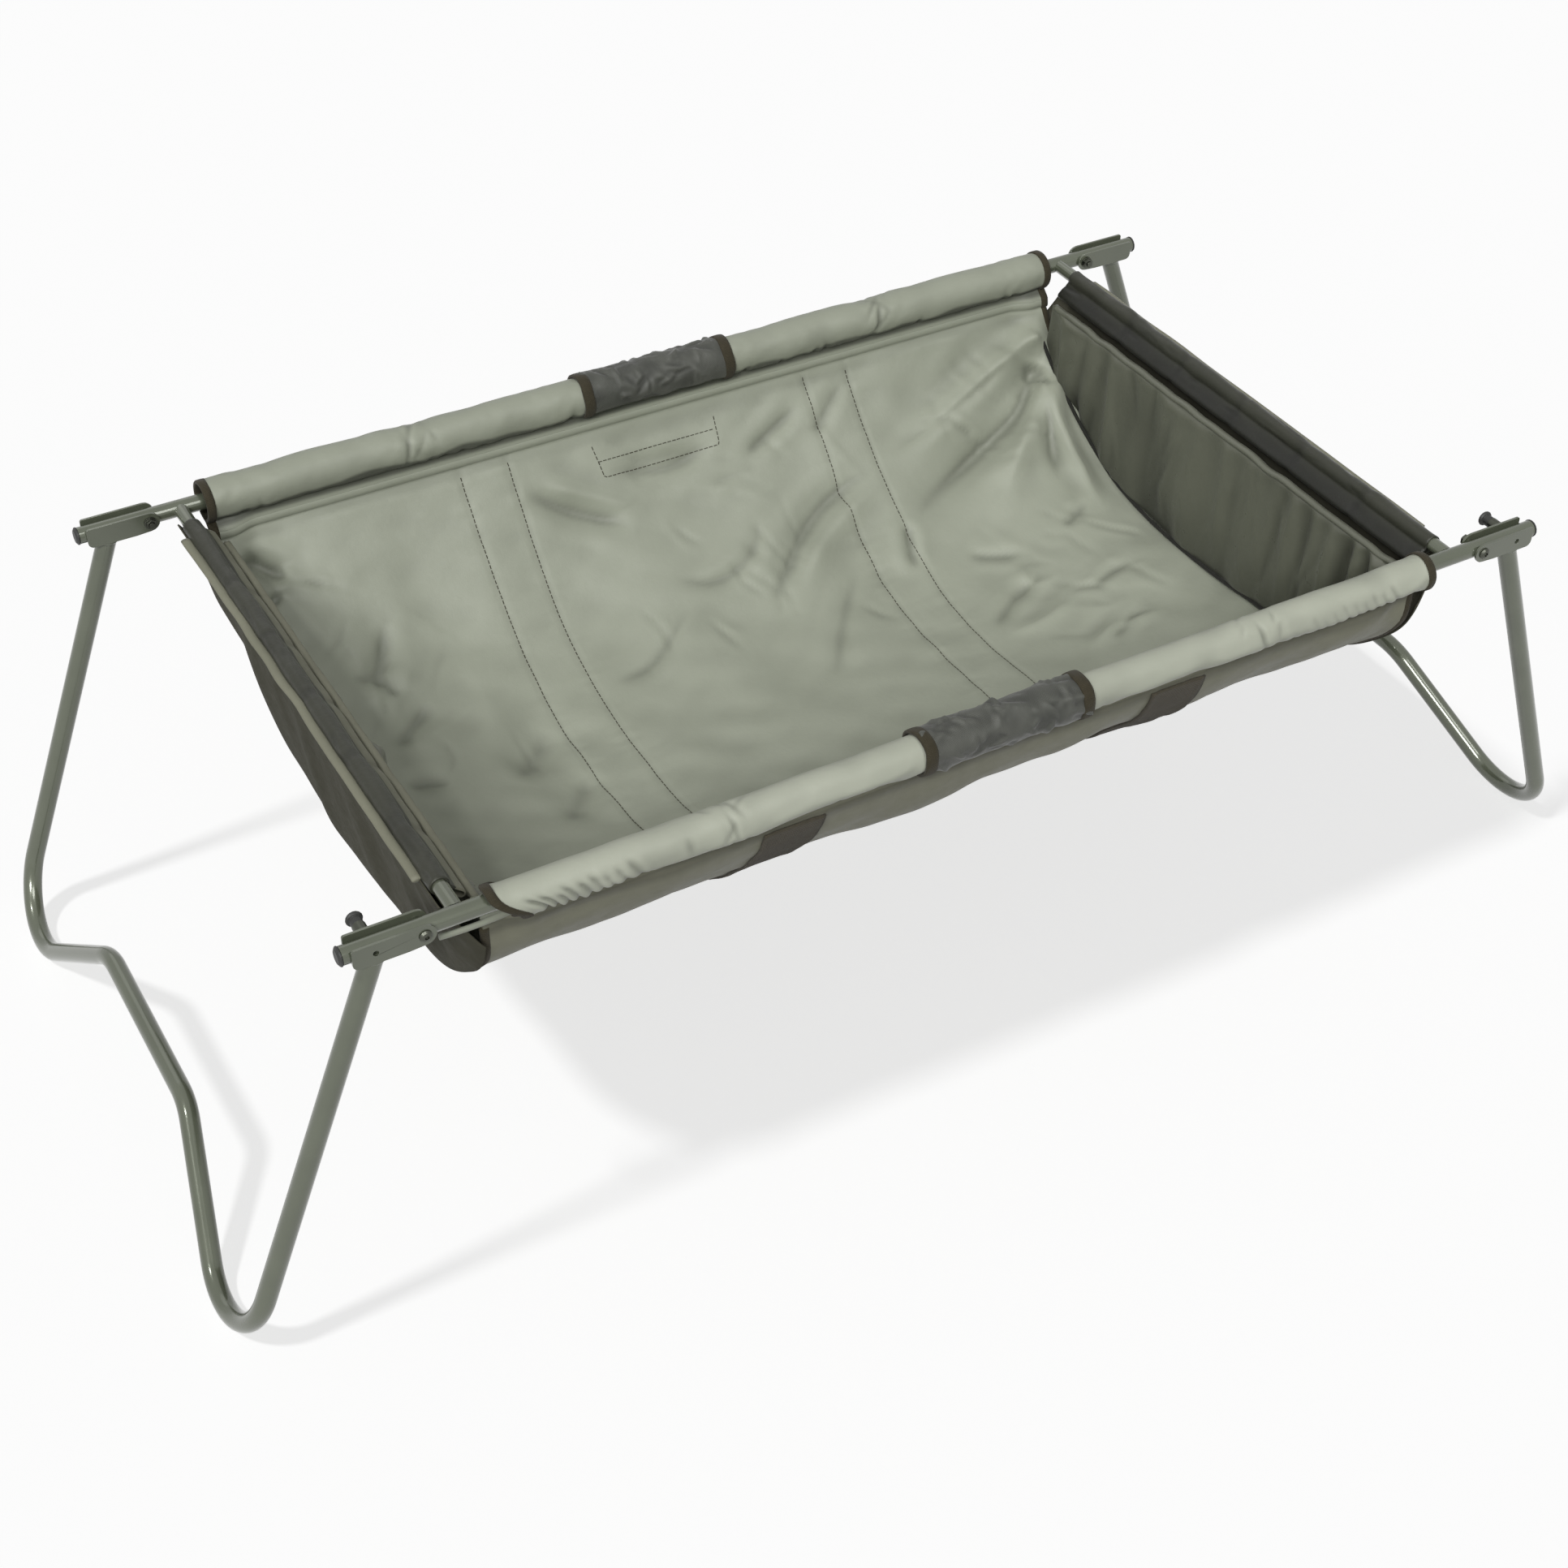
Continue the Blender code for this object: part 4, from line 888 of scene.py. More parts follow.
    def lift(self, x: np.ndarray, share: np.ndarray) -> np.ndarray:
        """How far folds, waves and stitches lift the inner face."""
        girth = self.form.girth()
        v = share * girth
        height = sum(fold.lift(x, v, girth) for fold in self.folds())
        height = height + waves(x, v, 11, 0.16, 1.8 * MM) + waves(x, v, 12, 0.05, 0.45 * MM)
        height = height + sum(crease.lift(x, v, 1.0) for crease in self.fine_creases(girth))
        edge = ease((self.form.half - np.abs(x)) / 0.02) * ease(np.minimum(share, 1 - share) * girth / 0.012)
        height = height * (0.1 + 0.9 * edge)
        for seam in self.seams():
            away = np.abs(x - seam)
            pucker = waves(x * 0.2, v, 30 + int(1000 * abs(seam)), 0.013, 0.35 * MM)
            height = height - self.seam_depth * np.exp(-(away / self.seam_width) ** 2)
            height = height + pucker * np.exp(-away / 0.009) * (1 - np.exp(-(away / 0.002) ** 2))
        return height

    def fine_creases(self, girth: float) -> list[Crease]:
        """Small creases where the cloth is pressed: beside the right panel, below the grip and on the left."""
        draw = np.random.default_rng(17)
        found = []
        for x, share, wide, tall, count, lean in (
                (0.34, 0.56, 0.06, 0.12, 20, 2.3), (0.31, 0.86, 0.08, 0.07, 18, 2.4), (0.06, 0.75, 0.09, 0.12, 16, 2.0),
                (-0.31, 0.72, 0.07, 0.12, 12, 1.1), (0.02, 0.90, 0.14, 0.03, 8, 2.9), (-0.36, 0.90, 0.03, 0.04, 5, 2.4)):
            for _ in range(count):
                at = np.array([draw.normal(x, wide / 1.6), girth * draw.normal(share, tall / 1.6)])
                way = draw.normal(lean, 0.35)
                run = draw.uniform(0.014, 0.045) * np.array([math.cos(way), math.sin(way)])
                bow = draw.normal(0, 0.005) * np.array([-math.sin(way), math.cos(way)])
                found.append(Crease((tuple(at - run), tuple(at + bow), tuple(at + run)),
                                    draw.uniform(3.0, 4.6) * MM, draw.choice([-1.0, 0.6]) * draw.uniform(0.6, 1.5) * MM,
                                    0.45, 0.45))
        return found

    def settled(self) -> tuple[np.ndarray, np.ndarray, np.ndarray, np.ndarray]:
        """The inner face after its cloth run.

        Returns:
            Places along the mat, shares across it, points and the folds' heights, each as a grid.
        """
        x, share = np.meshgrid(np.linspace(-self.form.half, self.form.half, self.columns), self.shares(),
                               indexing="ij")
        height = self.lift(x, share)
        points = self.form.points(x, share) + self.form.inward(x, share) * height[..., None]
        coarse = points[::3, ::2]
        held = np.zeros(coarse.shape[:2])
        held[:2] = held[-2:] = 1.0
        held[:, :2] = held[:, -2:] = 1.0
        move = self.cloth_run.moves(coarse, held)
        wide, tall = np.array(coarse.shape[:2]) * (3, 2) - (2, 1)
        points[:wide, :tall] += resample(move, wide, tall)
        return x, share, self.sizes.tucked(points), height

    def build(self, palette: Palette) -> tuple[bpy.types.Object, "MatFace"]:
        """Make the mat with its wall, its laps over the sleeves' tails and its closed ends."""
        x, share, inner, height = self.settled()
        face = MatFace(x[:, 0], share[0], inner)
        middle = inner + face.outward() * self.thickness / 2
        outer = (inner + face.outward() * self.thickness)[:, ::-1]
        along = np.repeat(x[:, :1], 9, axis=1)
        climb = np.array([2.5, 5.5, 8.2, 8.5, 0.0, -8.5, -8.2, -5.5, -2.5]) * MM
        lift = np.array([0.40, 0.40, 0.35, 0.05, 0.05, 0.05, 0.35, 0.40, 0.40]) * MM
        laps = []
        for side, tail in zip((1, -1), self.tails[::-1]):
            inward, up = tail.at((climb / tail.girth()) % 1.0, lift)
            laps.append(self.sizes.tucked(np.stack([along, side * (self.sizes.rail_y - inward) + 0 * along,
                                                    self.sizes.rail_height + up + 0 * along], axis=-1)))
        places = np.concatenate([inner, laps[0], outer, laps[1][:, ::-1], inner[:, :1]], axis=1)
        closed = np.concatenate([middle, laps[0][:, 4:5].repeat(9, 1), middle[:, ::-1],
                                 laps[1][:, 4:5].repeat(9, 1), middle[:, :1]], axis=1)
        places = np.concatenate([closed[:1], places, closed[-1:]])
        girth = self.form.girth()
        v = np.concatenate([share[0] * girth, girth + climb, share[0, ::-1] * girth, climb, share[0, :1] * girth])
        u = np.concatenate([x[:1, 0], x[:, 0], x[-1:, 0]])
        weave = np.stack(np.meshgrid(u, v, indexing="ij"), axis=-1)
        # Rows of the outer face, which take the darker copy of the cloth as painted shade.
        behind = np.arange(len(v) - 1)
        behind = (behind >= len(share[0]) + 4) & (behind < len(v) - 6)
        # Painted shade: the inner face darkens where it lies below its smoothed fold heights, and the outer face
        # darkens near the front seam, under the front sleeve.
        around = height
        for _ in range(10):
            around = np.pad(around, 1, "edge")
            around = (around[:-2, 1:-1] + around[2:, 1:-1] + around[1:-1, :-2] + around[1:-1, 2:]) / 4
        dents = 0.42 * np.clip((around - height) / (2.4 * MM), 0, 1)
        under = 0.55 * (1 - ease((share[:, ::-1] * girth - 4 * MM) / (12 * MM)))
        shade = np.concatenate([dents, along * 0, under, along * 0, dents[:, :1]], axis=1)
        mesh = cloth_mesh("mat", places, weave, False, True, behind, np.concatenate([shade[:1], shade, shade[-1:]]))
        piece = add_piece("hung_mat", mesh, palette.sage)
        mesh.materials.append(palette.back)
        return piece, face


@dataclass(frozen=True)
class MatFace:
    """The mat's finished inner face, which straps and stitches follow."""

    x: np.ndarray
    share: np.ndarray
    points: np.ndarray

    def outward(self) -> np.ndarray:
        """Directions off the back of the face."""
        along = np.gradient(self.points, axis=0)
        across = np.gradient(self.points, axis=1)
        normal = np.cross(across, along)
        return normal / np.linalg.norm(normal, axis=-1, keepdims=True)

    def at(self, x: np.ndarray, share: np.ndarray, behind: float = 0.0) -> np.ndarray:
        """Points on the face, or behind it.

        Args:
            x: places along the mat.
            share: shares of the way across it.
            behind: distance behind the face, below 0 for in front of it.

        Returns:
            One point for each place.
        """
        grid = self.points + self.outward() * behind
        i = np.interp(x, self.x, np.arange(len(self.x)))
        j = np.interp(share, self.share, np.arange(len(self.share)))
        low_i = np.minimum(i.astype(int), len(self.x) - 2)
        low_j = np.minimum(j.astype(int), len(self.share) - 2)
        a = (i - low_i)[..., None]
        b = (j - low_j)[..., None]
        near = grid[low_i, low_j] * (1 - a) + grid[low_i + 1, low_j] * a
        far = grid[low_i, low_j + 1] * (1 - a) + grid[low_i + 1, low_j + 1] * a
        return near * (1 - b) + far * b


def cord(name: str, line: np.ndarray, width: float, height: float, facing: np.ndarray,
         material: bpy.types.Material) -> bpy.types.Object:
    """Make a cord or a folded tape of oval section.

    Args:
        name: the piece's name.
        line: points along its middle.
        width: its width along the cloth that it edges.
        height: its height off that cloth.
        facing: the direction off the cloth, one or one for each point.
        material: its finish.

    Returns:
        The piece.
    """
    run = np.gradient(line, axis=0)
    run /= np.linalg.norm(run, axis=1, keepdims=True)
    out = facing - (facing * run).sum(axis=1, keepdims=True) * run
    out /= np.linalg.norm(out, axis=1, keepdims=True)
    side = np.cross(run, out)
    turn = np.linspace(0, 2 * math.pi, 13)
    places = (line[:, None] + width / 2 * np.cos(turn)[None, :, None] * side[:, None]
              + height / 2 * np.sin(turn)[None, :, None] * out[:, None])
    places = np.concatenate([line[:1, None].repeat(13, 1), places, line[-1:, None].repeat(13, 1)])
    way = np.concatenate([[0], np.cumsum(np.linalg.norm(np.diff(line, axis=0), axis=1))])
    u = np.concatenate([way[:1], way, way[-1:]])
    weave = np.stack(np.meshgrid(u, turn * (width + height) / 4, indexing="ij"), axis=-1)
    mesh = cloth_mesh(name, places, weave, False, True)
    face_out(mesh)
    return add_piece(name, mesh, material)


def face_out(mesh: bpy.types.Mesh) -> None:
    """Turn a closed mesh's faces outwards."""
    bm = bmesh.new()
    bm.from_mesh(mesh)
    bmesh.ops.recalc_face_normals(bm, faces=bm.faces)
    bm.to_mesh(mesh)
    bm.free()


@dataclass(frozen=True)
class MatStrap:
    """A webbing strap sewn under the mat."""

    word: str
    end: int
    middle: float
    width: float = 50 * MM
    thickness: float = 1.6 * MM

    def build(self, palette: Palette, face: MatFace, behind: float, length: float) -> bpy.types.Object:
        """Make the strap.

        Args:
            palette: the finishes.
            face: the mat's inner face.
            behind: distance from the face to the strap's inside.
            length: the strap's length.

        Returns:
            The strap.
        """
        middle = self.end * self.middle
        x, share = np.meshgrid(np.linspace(middle - self.width / 2, middle + self.width / 2, 17),
                               np.linspace(0.004, 0.996, 181), indexing="ij")
        inside = face.at(x, share, behind)
        outside = face.at(x, share, behind + self.thickness)
        places = np.concatenate([inside, outside[:, ::-1], inside[:, :1]], axis=1)
        v = np.concatenate([share[0], share[0, ::-1], share[0, :1]]) * length
        ends = np.concatenate([(inside + outside) / 2, ((inside + outside) / 2)[:, ::-1],
                               ((inside + outside) / 2)[:, :1]], axis=1)
        places = np.concatenate([ends[:1], places, ends[-1:]])
        u = np.concatenate([x[:1, 0], x[:, 0], x[-1:, 0]])
        weave = np.stack(np.meshgrid(u, v, indexing="ij")[::-1], axis=-1)
        mesh = cloth_mesh(f"{self.word}_strap", places, weave, False, True)
        return add_piece(f"{self.word}_webbing", mesh, palette.webbing)


@dataclass(frozen=True)
class StitchRow:
    """A row of lock stitches that lie on a cloth."""

    length: float = 3.4 * MM
    gap: float = 1.3 * MM
    width: float = 0.75 * MM
    height: float = 0.55 * MM

    def sew(self, bm: bmesh.types.BMesh, line: np.ndarray, facing: np.ndarray) -> None:
        """Add the stitches along a line.

        Args:
            bm: the mesh that takes the stitches.
            line: points close together along the row.
            facing: the cloth's direction at each point.
        """
        way = np.concatenate([[0], np.cumsum(np.linalg.norm(np.diff(line, axis=0), axis=1))])
        starts = np.arange(0, way[-1] - self.length, self.length + self.gap)
        for start in starts:
            ends = [np.array([np.interp(start + d, way, line[:, k]) for k in range(3)]) for d in (0, self.length)]
            up = np.array([np.interp(start, way, facing[:, k]) for k in range(3)])
            along = Vector(ends[1] - ends[0])
            out = Vector(up).normalized()
            side = out.cross(along).normalized()
            turn = Matrix((along.normalized() * along.length, side * self.width, out * self.height))
            place = Matrix.Translation(Vector((ends[0] + ends[1]) / 2)) @ turn.transposed().to_4x4()
            bmesh.ops.create_cube(bm, size=1.0, matrix=place)


class MatStitches:
    """The sewn lines that show on the mat: straps, edge seams and the patch under the rear grip."""

    def __init__(self, mat: HungMat, face: MatFace) -> None:
        """Keep the mat and its face."""
        self.mat = mat
        self.face = face

    def lines(self) -> list[list[tuple[float, float]]]:
        """Corners of each sewn line, as places along the mat and shares across it."""
        rows = [[(x, 0.010), (x, 0.990)] for x in self.mat.seams()]
        rows += [[(-0.070, 0.978), (-0.066, 0.934), (0.050, 0.934), (0.053, 0.978)],
                 [(-0.068, 0.956), (0.051, 0.956)]]
        return rows

    def build(self, palette: Palette) -> bpy.types.Object:
        """Make every stitch as one piece."""
        bm = bmesh.new()
        row = StitchRow()
        for corners in self.lines():
            points = np.array(corners)
            count = 240
            way = np.linspace(0, len(points) - 1, count)
            x = np.interp(way, np.arange(len(points)), points[:, 0])
            share = np.interp(way, np.arange(len(points)), points[:, 1])
            line = self.face.at(x, share, -0.12 * MM)
            facing = line - self.face.at(x, share, 1.0 * MM)
            row.sew(bm, line, facing)
        bmesh.ops.recalc_face_normals(bm, faces=bm.faces)
        mesh = bpy.data.meshes.new("mat_stitches")
        bm.to_mesh(mesh)
        bm.free()
        return add_piece("mat_stitches", mesh, palette.thread)


# Sleeves

@dataclass(frozen=True)
class RailSleeve:
    """A padded sleeve on one rail, gathered along its tail, with bound mouths."""

    row: str
    side: int
    sizes: CradleSizes
    outline: RollOutline
    cloth: float = 1.5 * MM
    lip: float = 14 * MM
    columns: int = 561
    around: int = 89
    pinches: tuple[float, ...] = (-0.235, 0.235)
    grip_half: float = 0.071
    short_end: float = 0.0
    slant: float = 0.0
    cloth_run: ClothRun = ClothRun(frames=18, growth=0.02, pressure=2.5, bending=0.08, cap=1.5 * MM)

    def place(self, x: np.ndarray, inward: np.ndarray, up: np.ndarray) -> np.ndarray:
        """Put places of the outline on the rail."""
        y = self.side * (self.sizes.rail_y - inward)
        return np.stack([x + 0 * inward, y, self.sizes.rail_height + up], axis=-1)

    def run(self, u: np.ndarray, share: np.ndarray) -> np.ndarray:
        """Places along the rail of a sleeve whose right mouth is short and whose left one is cut at a slant."""
        half = self.sizes.sleeve_half
        _, up = self.outline.at(share)
        below = ease((self.outline.radius - self.outline.sag - up) / (1.7 * self.outline.radius))
        near_left = np.clip(1 - (u + half) / 0.11, 0, 1) ** 2
        near_right = np.clip(1 - (half - u) / 0.11, 0, 1) ** 2
        return u + self.slant * below * near_left - self.short_end * near_right

    def creases(self) -> list[Crease]:
        """Fine gathers that run up from the tail, and a slanted hatch of them inside the mouths."""
        draw = np.random.default_rng(40 + self.side)
        girth = self.outline.girth()
        half = self.sizes.sleeve_half
        found = []
        for _ in range(70):
            x = draw.uniform(-half, half)
            up = draw.uniform(0.010, 0.026)
            inner = draw.random() < 0.4
            tilt = draw.normal(0.2, 0.3) * up
            start, end = (0.016, 0.016 + up) if inner else (girth - 0.016, girth - 0.016 - up)
            found.append(Crease(((x, start), (x + tilt, end)), draw.uniform(2.2, 4.0) * MM,
                                -draw.uniform(0.4, 1.3) * MM, 0.1, 0.8))
        for mouth in (-half, half):
            deep = 1.0 if self.side < 0 and mouth < 0 else 0.35
            for step in range(9):
                x = mouth - math.copysign(0.036 + 0.0105 * step, mouth)
                start = girth - draw.uniform(0.018, 0.022)
                up = draw.uniform(0.024, 0.032)
                found.append(Crease(((x, start), (x - 0.55 * up, start - up)), 3.0 * MM,
                                    -3.6 * deep * (1 - step / 14) * MM, 0.1, 0.3))
        for spot in self.pinches:
            for _ in range(9):
                x = spot + draw.normal(0, 0.012)
                middle = draw.uniform(0.25, 0.85) * girth
                reach = draw.uniform(0.008, 0.022)
                tilt = draw.normal(0, 0.5) * reach
                found.append(Crease(((x - tilt, middle - reach), (x + tilt, middle + reach)),
                                    draw.uniform(2.0, 3.2) * MM, -draw.uniform(0.4, 1.0) * MM, 0.5, 0.5))
        return found

    def build(self, palette: Palette, foam: bpy.types.Object) -> bpy.types.Object:
        """Make the sleeve, whose mouths turn in as lips.

        Args:
            palette: the finishes.
            foam: the foam tube that the sleeve lies on.

        Returns:
            The sleeve.
        """
        half = self.sizes.sleeve_half
        girth = self.outline.girth()
        x, share = np.meshgrid(np.linspace(-half, half, self.columns), np.linspace(0, 1, self.around), indexing="ij")
        v = share * girth
        lift = waves(x, v, 50 + self.side, 0.06, 0.25 * MM) * np.sin(math.pi * share)
        for crease in self.creases():
            lift = lift + crease.lift(x, v, 1.0)
        for spot in self.pinches:
            mark = np.exp(-((share - (0.64 if self.side < 0 else 0.30)) / 0.10) ** 2)
            lift = lift - 2.0 * MM * mark * np.exp(-((x - spot - 0.2 * (v - girth / 2)) / 0.0026) ** 2)
        lift = np.clip(lift, (-2.1 if self.side > 0 else -3.0) * MM, 1.4 * MM)
        laid = self.run(x, share)
        smooth = self.place(laid, *self.outline.at(share))[::2, ::2]
        held = (np.minimum(share, 1 - share) * girth < 17 * MM) | (np.abs(x) > half - 7 * MM)
        held = np.maximum(held * 1.0, (np.abs(x) < self.grip_half) * 1.0)
        for spot in self.pinches:
            held = np.maximum(held, 0.3 * (np.abs(x - spot) < 2.2 * MM))
        move = self.cloth_run.moves(smooth, held[::2, ::2], self.side < 0, foam)
        body = self.place(laid, *self.outline.at(share, lift)) + resample(move, self.columns, self.around)
        ends = []
        for end in (-1, 1):
            for depth, inset in ((1.0, 1.0), (0.4, 1.0), (0.05, 0.95)):
                edge = self.run(x[:1] * 0 + end * half, share[:1]) - end * depth * self.lip
                ends.append(self.place(edge, *self.outline.at(share[:1], -inset * self.cloth)))
        places = self.sizes.tucked(np.concatenate(ends[:3] + [body] + ends[:2:-1]))
        u = np.concatenate([np.full(3, -half), x[:, 0], np.full(3, half)])
        weave = np.stack(np.meshgrid(u, v[0], indexing="ij"), axis=-1)
        # Painted shade under the roll and in the crease valleys.
        shade = np.pad(np.clip(self.painted_roll_shade(x, v, girth) + 0.45 * np.clip(-lift / (1.6 * MM), 0, 1), 0, 0.85),
                       ((3, 3), (0, 0)), "edge")
        mesh = cloth_mesh(f"{self.row}_sleeve", places, weave, self.side < 0, True, hollow=shade)
        # The front sleeve takes the lighter copy of the sage cloth: painted light.
        return add_piece(f"{self.row}_rail_sleeve", mesh, palette.pale_sage if self.side < 0 else palette.sage)

    def painted_roll_shade(self, x: np.ndarray, v: np.ndarray, girth: float) -> np.ndarray:
        """Painted shade on the cloth where the roll overhangs its web, with a narrower band on the other side."""
        wander = waves(x, 0 * v, 55 + self.side, 0.07, 2.0 * MM)
        base = self.outline.reach - 0.97 * self.outline.radius
        shade = 0.0
        for way, deep, wide in ((v, 0.82, 10 * MM), (girth - v, 0.6, 3 * MM)):
            shade = shade + deep * ease((way - base + 5 * MM) / (4 * MM)) * (
                1 - ease((way - base - wide + wander) / (5 * MM)))
        return shade

    def build_binding(self, palette: Palette, end: int) -> bpy.types.Object:
        """Make the tape that is folded over one mouth."""
        loop = np.array([(-7.0, 0.3), (-6.8, 1.0), (-4.0, 1.2), (-0.6, 1.1), (0.4, 0.5), (0.5, -0.8), (0.3, -2.0),
                         (-0.6, -2.4), (-4.0, -2.3), (-6.0, -2.2), (-6.2, -1.6), (-4.0, -1.0), (-7.0, 0.3)]) * MM
        share = np.linspace(0, 1, self.around)
        v = share * self.outline.girth()
        wobble = waves(v, v * 0, 60 + end, 0.03, 0.3 * MM) * np.sin(math.pi * share)
        mouth = self.run(0 * share + end * self.sizes.sleeve_half, share)
        x = mouth + end * (loop[:, :1] + wobble * (loop[:, :1] < -5 * MM))
        inward, up = self.outline.at(share[None, :] + 0 * x, loop[:, 1:] + 0.3 * wobble)
        weave = np.stack([v[None, :] + 0 * x, x], axis=-1)
        name = f"{self.row}_{'right' if end > 0 else 'left'}_mouth_binding"
        places = self.sizes.tucked(self.place(x, inward, up))
        mesh = cloth_mesh(name, places, weave, self.side * end > 0, True)
        return add_piece(name, mesh, palette.binding)

    def build_foam(self, palette: Palette) -> bpy.types.Object:
        """Make the foam tube under the sleeve."""
        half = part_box(f"{self.row}_rail_foam")[1].x
        bm = bmesh.new()
        inner = self.sizes.rail_radius + 0.3 * MM
        outer = self.outline.radius - self.outline.sag - 3.0 * MM
        corners = [(-half, inner), (-half, outer), (half, outer), (half, inner)]
        points = [bm.verts.new((x, radius, 0)) for x, radius in corners]
        edges = [bm.edges.new((points[i], points[(i + 1) % 4])) for i in range(4)]
        bmesh.ops.spin(bm, geom=points + edges, cent=(0, 0, 0), axis=(1, 0, 0), angle=2 * math.pi, steps=32,
                       use_merge=True)
        bmesh.ops.remove_doubles(bm, verts=bm.verts, dist=1e-5)
        rims = [edge for edge in bm.edges if edge.calc_face_angle(0) > 1]
        bmesh.ops.bevel(bm, geom=rims, offset=1.2 * MM, affect="EDGES", segments=2, profile=0.5, material=-1)
        bmesh.ops.recalc_face_normals(bm, faces=bm.faces)
        bmesh.ops.translate(bm, vec=(0, self.side * self.sizes.rail_y, self.sizes.rail_height), verts=bm.verts)
        mesh = bpy.data.meshes.new(f"{self.row}_foam")
        bm.to_mesh(mesh)
        bm.free()
        mesh.shade_smooth()
        mesh.set_sharp_from_angle(angle=math.radians(35))
        return add_piece(f"{self.row}_foam_tube", mesh, palette.foam)


@dataclass(frozen=True)
class RailGrip:
    """A wrap on a sleeve where the cradle is carried, with bound ends."""

    row: str
    side: int
    sizes: CradleSizes
    length: float = 0.145
    inner: float = 17.8 * MM
    sag: float = 0.0
    thickness: float = 1.8 * MM
    opening: float = math.radians(46)
    lean: float = math.radians(15.5)
    end_width: float = 10 * MM

    def arc(self) -> float:
        """Length of the wrap round the sleeve."""
        return (self.inner + self.thickness) * (2 * math.pi - 2 * self.opening)

    def place(self, x: np.ndarray, share: np.ndarray, radius: np.ndarray) -> np.ndarray:
        """Put places of the wrap on the sleeve, by their share of the way round from its inner edge."""
        turn = -math.pi / 2 + self.lean + self.opening + (2 * math.pi - 2 * self.opening) * share
        y = self.side * (self.sizes.rail_y - radius * np.cos(turn))
        return np.stack([x, y, self.sizes.rail_height - self.sag + radius * np.sin(turn)], axis=-1)

    def build(self, palette: Palette) -> bpy.types.Object:
        """Make the crinkled wrap."""
        x, share = np.meshgrid(np.linspace(-self.length / 2, self.length / 2, 101), np.linspace(0, 1, 71),
                               indexing="ij")
        v = share * self.arc()
        draw = np.random.default_rng(70 + self.side)
        lift = waves(x, v, 71 + self.side, 0.03, 0.5 * MM)
        for _ in range(60):
            start = np.array([draw.uniform(-0.07, 0.07), draw.uniform(0, 0.072)])
            way = draw.uniform(0, math.pi)
            run = draw.uniform(0.010, 0.03) * np.array([math.cos(way), math.sin(way)])
            lift = lift + Crease((tuple(start), tuple(start + run)), draw.uniform(1.5, 2.8) * MM,
                                 draw.choice([-1, 1]) * draw.uniform(1.0, 2.4) * MM, 0.4, 0.4).lift(x, v, 1.0)
        lift = np.clip(lift, -0.9 * MM, 2.8 * MM)
        radius = self.inner + self.thickness + lift
        # Painted shade in the wrap's crease valleys.
        mesh = cloth_mesh(f"{self.row}_grip", self.place(x, share, radius), np.stack([x, v], axis=-1), self.side < 0,
                          hollow=0.4 * np.clip((0.5 * MM - lift) / (1.4 * MM), 0, 1))
        piece = add_piece(f"{self.row}_grip_wrap", mesh, palette.wrap)
        wall = piece.modifiers.new("wall", "SOLIDIFY")
        wall.thickness = self.thickness * 0.6
        wall.offset = -1.0
        settle(piece)
        return piece

    def build_end(self, palette: Palette, end: int) -> bpy.types.Object:
        """Make the tape that binds one end of the wrap."""
        loop = np.array([(-1.0, 0.2), (-1.0, 1.9), (-0.9, 2.6), (-0.4, 2.9), (0.4, 2.9), (0.9, 2.6), (1.0, 1.8),
                         (0.9, -0.1), (0.0, -0.2), (-0.9, -0.1), (-1.0, 0.2)])
        share = np.linspace(-0.05, 1.05, 81)
        v = share * self.arc()
        wobble = waves(v, v * 0, 80 + end + 3 * self.side, 0.028, 0.35 * MM)
        x = end * (self.length / 2 - self.end_width * 0.25) + loop[:, :1] * self.end_width / 2 + wobble
        radius = self.inner + loop[:, 1:] * MM + 0.5 * wobble
        weave = np.stack([v + 0 * x, x], axis=-1)
        places = self.place(x, share + 0 * x, radius)
        middle = places.mean(axis=0, keepdims=True)
        places = np.concatenate([places[:, :1] * 0 + middle[:, :1], places, places[:, :1] * 0 + middle[:, -1:]], axis=1)
        weave = np.concatenate([weave[:, :1], weave, weave[:, -1:]], axis=1)
        name = f"{self.row}_grip_{'right' if end > 0 else 'left'}_binding"
        return add_piece(name, cloth_mesh(name, places, weave, self.side > 0, True), palette.binding)


# Ends

